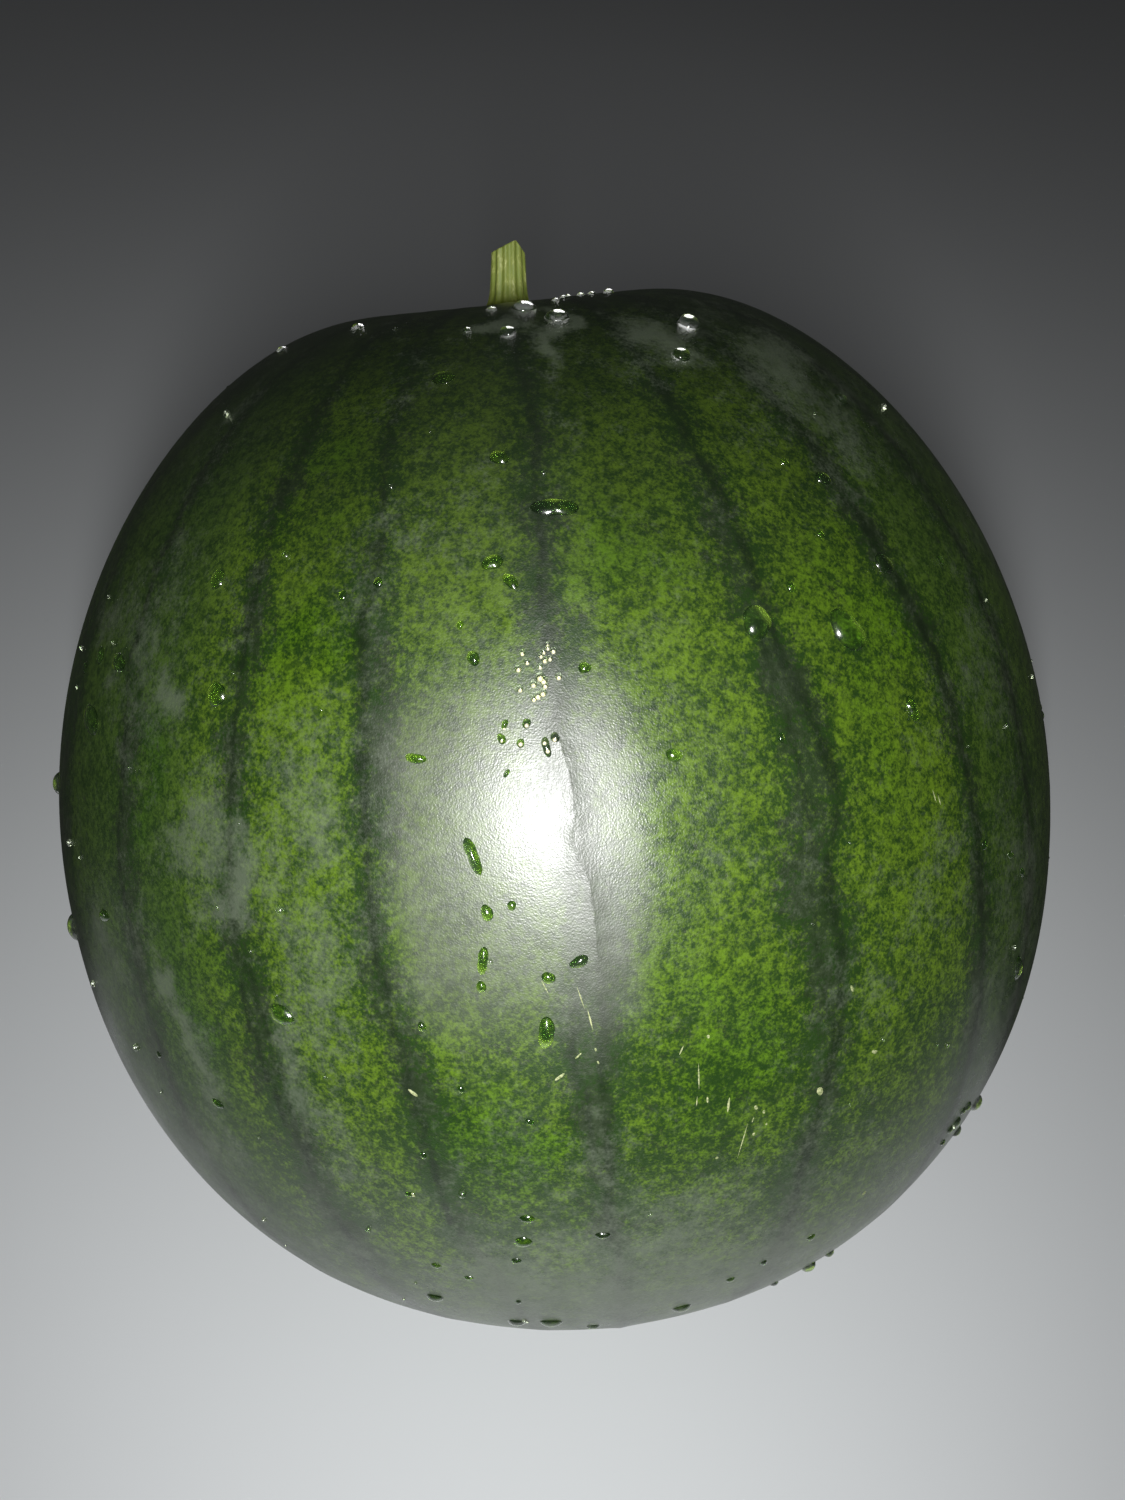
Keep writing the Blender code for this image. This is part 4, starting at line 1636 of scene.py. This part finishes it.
@dataclass
class Spray:
    """Fine beads, strewn by Geometry Nodes as copies of one small dome."""

    skin: Skin
    surface: BVHTree
    finish: bpy.types.Material
    name: str = "water_beads"
    cluster: tuple[tuple[float, float, float], ...] = CLUSTER
    stray_beads: int = 150
    flatness: float = 0.72
    sink: float = 0.28
    seed: int = 5
    bare_crown: float = 30.0
    front: float = 78.0

    def spots(self) -> list[tuple[float, float, float]]:
        """Longitude, colatitude and radius in millimetres of every bead."""
        draw = random.Random(self.seed)
        spots = list(self.cluster)
        for _ in range(self.stray_beads):
            colatitude = math.degrees(math.acos(draw.uniform(-0.75, 0.97)))
            longitude = draw.uniform(-180, 180)
            radius = draw.choice((0.2, 0.25, 0.3, 0.4, 0.6))
            if colatitude > self.bare_crown or abs(longitude) > self.front:
                spots.append((longitude, colatitude, radius))
        return spots

    def build(self) -> bpy.types.Object:
        """Strews the beads.

        Returns:
            The finished object.
        """
        seeds = bpy.data.meshes.new("bead places")
        spots = self.spots()
        places, ups, sizes = [], [], []
        for longitude, colatitude, radius in spots:
            place, up, _, _ = self.surface.find_nearest(self.skin.at(longitude, colatitude))
            places.append(place)
            ups.extend(up)
            sizes.append(radius * MM)
        seeds.from_pydata(places, [], [])
        seeds.attributes.new("up", "FLOAT_VECTOR", "POINT").data.foreach_set("vector", ups)
        seeds.attributes.new("size", "FLOAT", "POINT").data.foreach_set("value", sizes)
        made = self.strew(seeds)
        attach(made, BODY)
        return made

    def strew(self, seeds: bpy.types.Mesh) -> bpy.types.Object:
        """Puts a squat dome on every point, upright on the skin and of its own size."""
        tree = Grower(self.name)
        flatness = tree.ask("Flatness", self.flatness)
        sink = tree.ask("Sink", self.sink)
        dome = tree.node("GeometryNodeMeshUVSphere", {}, {"Segments": 10, "Rings": 6, "Radius": 1.0}).outputs[0]
        squat = Fruit.shift(tree, dome, "Scale", tree.join(1.0, 1.0, flatness))
        squat = Fruit.shift(tree, squat, "Translation", tree.join(0.0, 0.0, sink))
        up = tree.node("GeometryNodeInputNamedAttribute", {"data_type": "FLOAT_VECTOR"}, {"Name": "up"})
        size = tree.node("GeometryNodeInputNamedAttribute", {"data_type": "FLOAT"}, {"Name": "size"})
        stand = tree.node("FunctionNodeAlignRotationToVector", {"axis": "Z"}, {"Vector": up.outputs[0]})
        copies = tree.node(
            "GeometryNodeInstanceOnPoints",
            {},
            {"Points": tree.start(), "Instance": squat, "Rotation": stand.outputs[0], "Scale": size.outputs[0]},
        ).outputs[0]
        smooth = tree.node("GeometryNodeSetShadeSmooth", {}, {"Geometry": copies}).outputs[0]
        return tree.grow(smooth, self.finish, seeds)


class Light(Enum):
    """The soft lights round the melon."""

    KEY = "key light"
    OVERHEAD = "overhead light"
    BACK = "back light"
    GLINT = "glint light"


@dataclass(frozen=True)
class Studio:
    """The floor, the lights, the world and the camera."""

    camera_at: tuple[float, float, float] = (-1.62 * MM, -204.0 * MM, 270.3 * MM)
    camera_pitch: float = math.radians(50.0)
    camera_roll: float = math.radians(3.9)
    lens: float = 36.0
    sensor: float = 36.0
    key_aside: float = -1.5 * MM
    key_below: float = -36.0 * MM
    key_behind: float = 32.0 * MM
    key_size: tuple[float, float] = (20.0 * MM, 56.0 * MM)
    key_watts: float = 0.355
    key_droop: float = math.radians(0.0)
    key_spread: float = math.radians(100.0)
    overhead_size: float = 0.9
    overhead_height: float = 1.0
    overhead_watts: float = 0.5
    back_at: tuple[float, float, float] = (0.0, 0.75, 0.11)
    back_size: tuple[float, float] = (1.7, 0.26)
    back_pitch: float = math.radians(-86.0)
    back_watts: float = 9.5
    glint_at: tuple[float, float, float] = (0.05, 0.6, 0.6)
    glint_size: tuple[float, float] = (0.5, 0.6)
    glint_pitch: float = math.radians(-53.0)
    glint_watts: float = 6.5
    sky: float = 0.02
    floor_colour: tuple = tint(226, 229, 231)
    floor_size: float = 6.0

    def build(self, pieces: Sequence[bpy.types.Object], crown_drops: bpy.types.Object) -> None:
        """Sets up the whole studio.

        Args:
            pieces: Everything that the back light shines on, which leaves out the floor.
            crown_drops: The drops on the crown, which alone catch the glint light.
        """
        camera = self.set_camera()
        self.set_lights(camera)
        self.light_only(self.add_back(), pieces)
        self.light_only(self.add_glint(), [crown_drops])
        self.set_world()
        self.lay_floor()
        bpy.context.scene.view_settings.view_transform = "Standard"

    def set_camera(self) -> bpy.types.Object:
        """Adds the camera at the picture's viewing angle."""
        data = bpy.data.cameras.new("camera")
        data.sensor_fit = "VERTICAL"
        data.sensor_height = self.sensor
        data.lens = self.lens
        data.clip_start = 1 * MM
        camera = bpy.data.objects.new("camera", data)
        turn = Matrix.Rotation(self.camera_pitch, 4, "X") @ Matrix.Rotation(self.camera_roll, 4, "Z")
        camera.matrix_world = Matrix.Translation(self.camera_at) @ turn
        bpy.context.scene.collection.objects.link(camera)
        bpy.context.scene.camera = camera
        return camera

    def set_lights(self, camera: bpy.types.Object) -> None:
        """Adds a small key light behind the camera and a large weak one overhead."""
        offset = Vector((self.key_aside, self.key_below, self.key_behind))
        key = self.lamp(Light.KEY, self.key_size, self.key_watts)
        aim = Matrix.Rotation(-self.key_droop, 4, "X")
        key.matrix_world = camera.matrix_world @ Matrix.Translation(offset) @ aim
        key.data.spread = self.key_spread
        key.visible_transmission = False
        over = self.lamp(Light.OVERHEAD, (self.overhead_size, self.overhead_size), self.overhead_watts)
        over.location = (0.0, 0.0, self.overhead_height)
        over.visible_glossy = False

    def add_back(self) -> bpy.types.Object:
        """Adds the low light behind the melon, which fills its far side."""
        back = self.lamp(Light.BACK, self.back_size, self.back_watts)
        back.location = self.back_at
        back.rotation_euler = (self.back_pitch, 0.0, 0.0)
        back.visible_glossy = False
        return back

    def add_glint(self) -> bpy.types.Object:
        """Adds the large panel that shows as the white tops of the crown's drops."""
        glint = self.lamp(Light.GLINT, self.glint_size, self.glint_watts)
        glint.location = self.glint_at
        glint.rotation_euler = (self.glint_pitch, 0.0, 0.0)
        glint.visible_transmission = False
        glint.visible_camera = False
        return glint

    @staticmethod
    def light_only(lamp: bpy.types.Object, pieces: Sequence[bpy.types.Object]) -> None:
        """Makes a light shine on some pieces alone."""
        lit = bpy.data.collections.new(lamp.name)
        for piece in pieces:
            lit.objects.link(piece)
        lamp.light_linking.receiver_collection = lit

    @staticmethod
    def lamp(light: Light, size: tuple[float, float], watts: float) -> bpy.types.Object:
        """Adds one rectangular light that shines down its own -z."""
        data = bpy.data.lights.new(light.value, "AREA")
        data.shape = "RECTANGLE"
        data.size, data.size_y = size
        data.energy = watts
        lamp = bpy.data.objects.new(light.value, data)
        bpy.context.scene.collection.objects.link(lamp)
        return lamp

    def set_world(self) -> None:
        """Fills the surroundings with a dim even grey."""
        world = bpy.data.worlds.new("studio")
        world.use_nodes = True
        world.node_tree.nodes["Background"].inputs["Color"].default_value = (self.sky,) * 3 + (1.0,)
        bpy.context.scene.world = world

    def lay_floor(self) -> None:
        """Lays the plain pale floor, whose far half isn't mirrored in the skin."""
        half = self.floor_size / 2
        paint = Paint("floor")
        paint.set(Base_Color=self.floor_colour, Roughness=0.6)
        for name, near, far in (("floor_near", -half, 0.0), ("floor_far", 0.0, half)):
            mesh = bpy.data.meshes.new(name)
            corners = [(-half, near, 0), (half, near, 0), (half, far, 0), (-half, far, 0)]
            mesh.from_pydata(corners, [], [(0, 1, 2, 3)])
            mesh.materials.append(paint.material)
            floor = bpy.data.objects.new(name, mesh)
            bpy.context.scene.collection.objects.link(floor)
            floor.visible_glossy = near < 0


def report(piece: bpy.types.Object) -> None:
    """Logs a piece's name and how many faces it has."""
    LOG.info("%s: %d faces", piece.name, len(piece.data.polygons))


def surface_of(piece: bpy.types.Object) -> BVHTree:
    """The piece's surface, for what stands on it."""
    mesh = piece.data
    return BVHTree.FromPolygons(
        [point.co for point in mesh.vertices], [tuple(face.vertices) for face in mesh.polygons]
    )


def main() -> None:
    """Builds the melon piece by piece, then the studio."""
    logging.basicConfig(level=logging.INFO, format="%(name)s: %(message)s")
    skin = Skin()
    markings = all_markings()
    fruit = Fruit(skin, markings).build()
    report(fruit)
    report(Stem(skin).build())
    surface = surface_of(fruit)
    domes = Domes(skin, surface)
    drops = DROPS + HiddenDrops().strew()
    water = WaterFinish().make()
    crown = [drop for drop in drops if drop.stands_tall()]
    report(domes.grow("water_drops", [drop for drop in drops if drop not in crown], water, Drop.rise))
    crown_drops = domes.grow("crown_drops", crown, water, Drop.rise)
    report(crown_drops)
    report(WetSkin(domes, markings).build(drops))
    report(Spray(skin, surface, SHADED_BEAD_WATER.make()).build())
    # Painted highlights: pale domes in the beads and in the middle drops.
    report(Spray(skin, surface, PaintedGlintFinish().make(), "bead_wax", PAINTED_GLINTS, 0, 1.3, 0.5).build())
    report(domes.grow("dry_scuffs", SCUFFS, ScuffFinish().make(), Drop.rise))
    Studio().build([thing for thing in bpy.data.objects if thing.type == "MESH"], crown_drops)


if __name__ == "__main__":
    main()
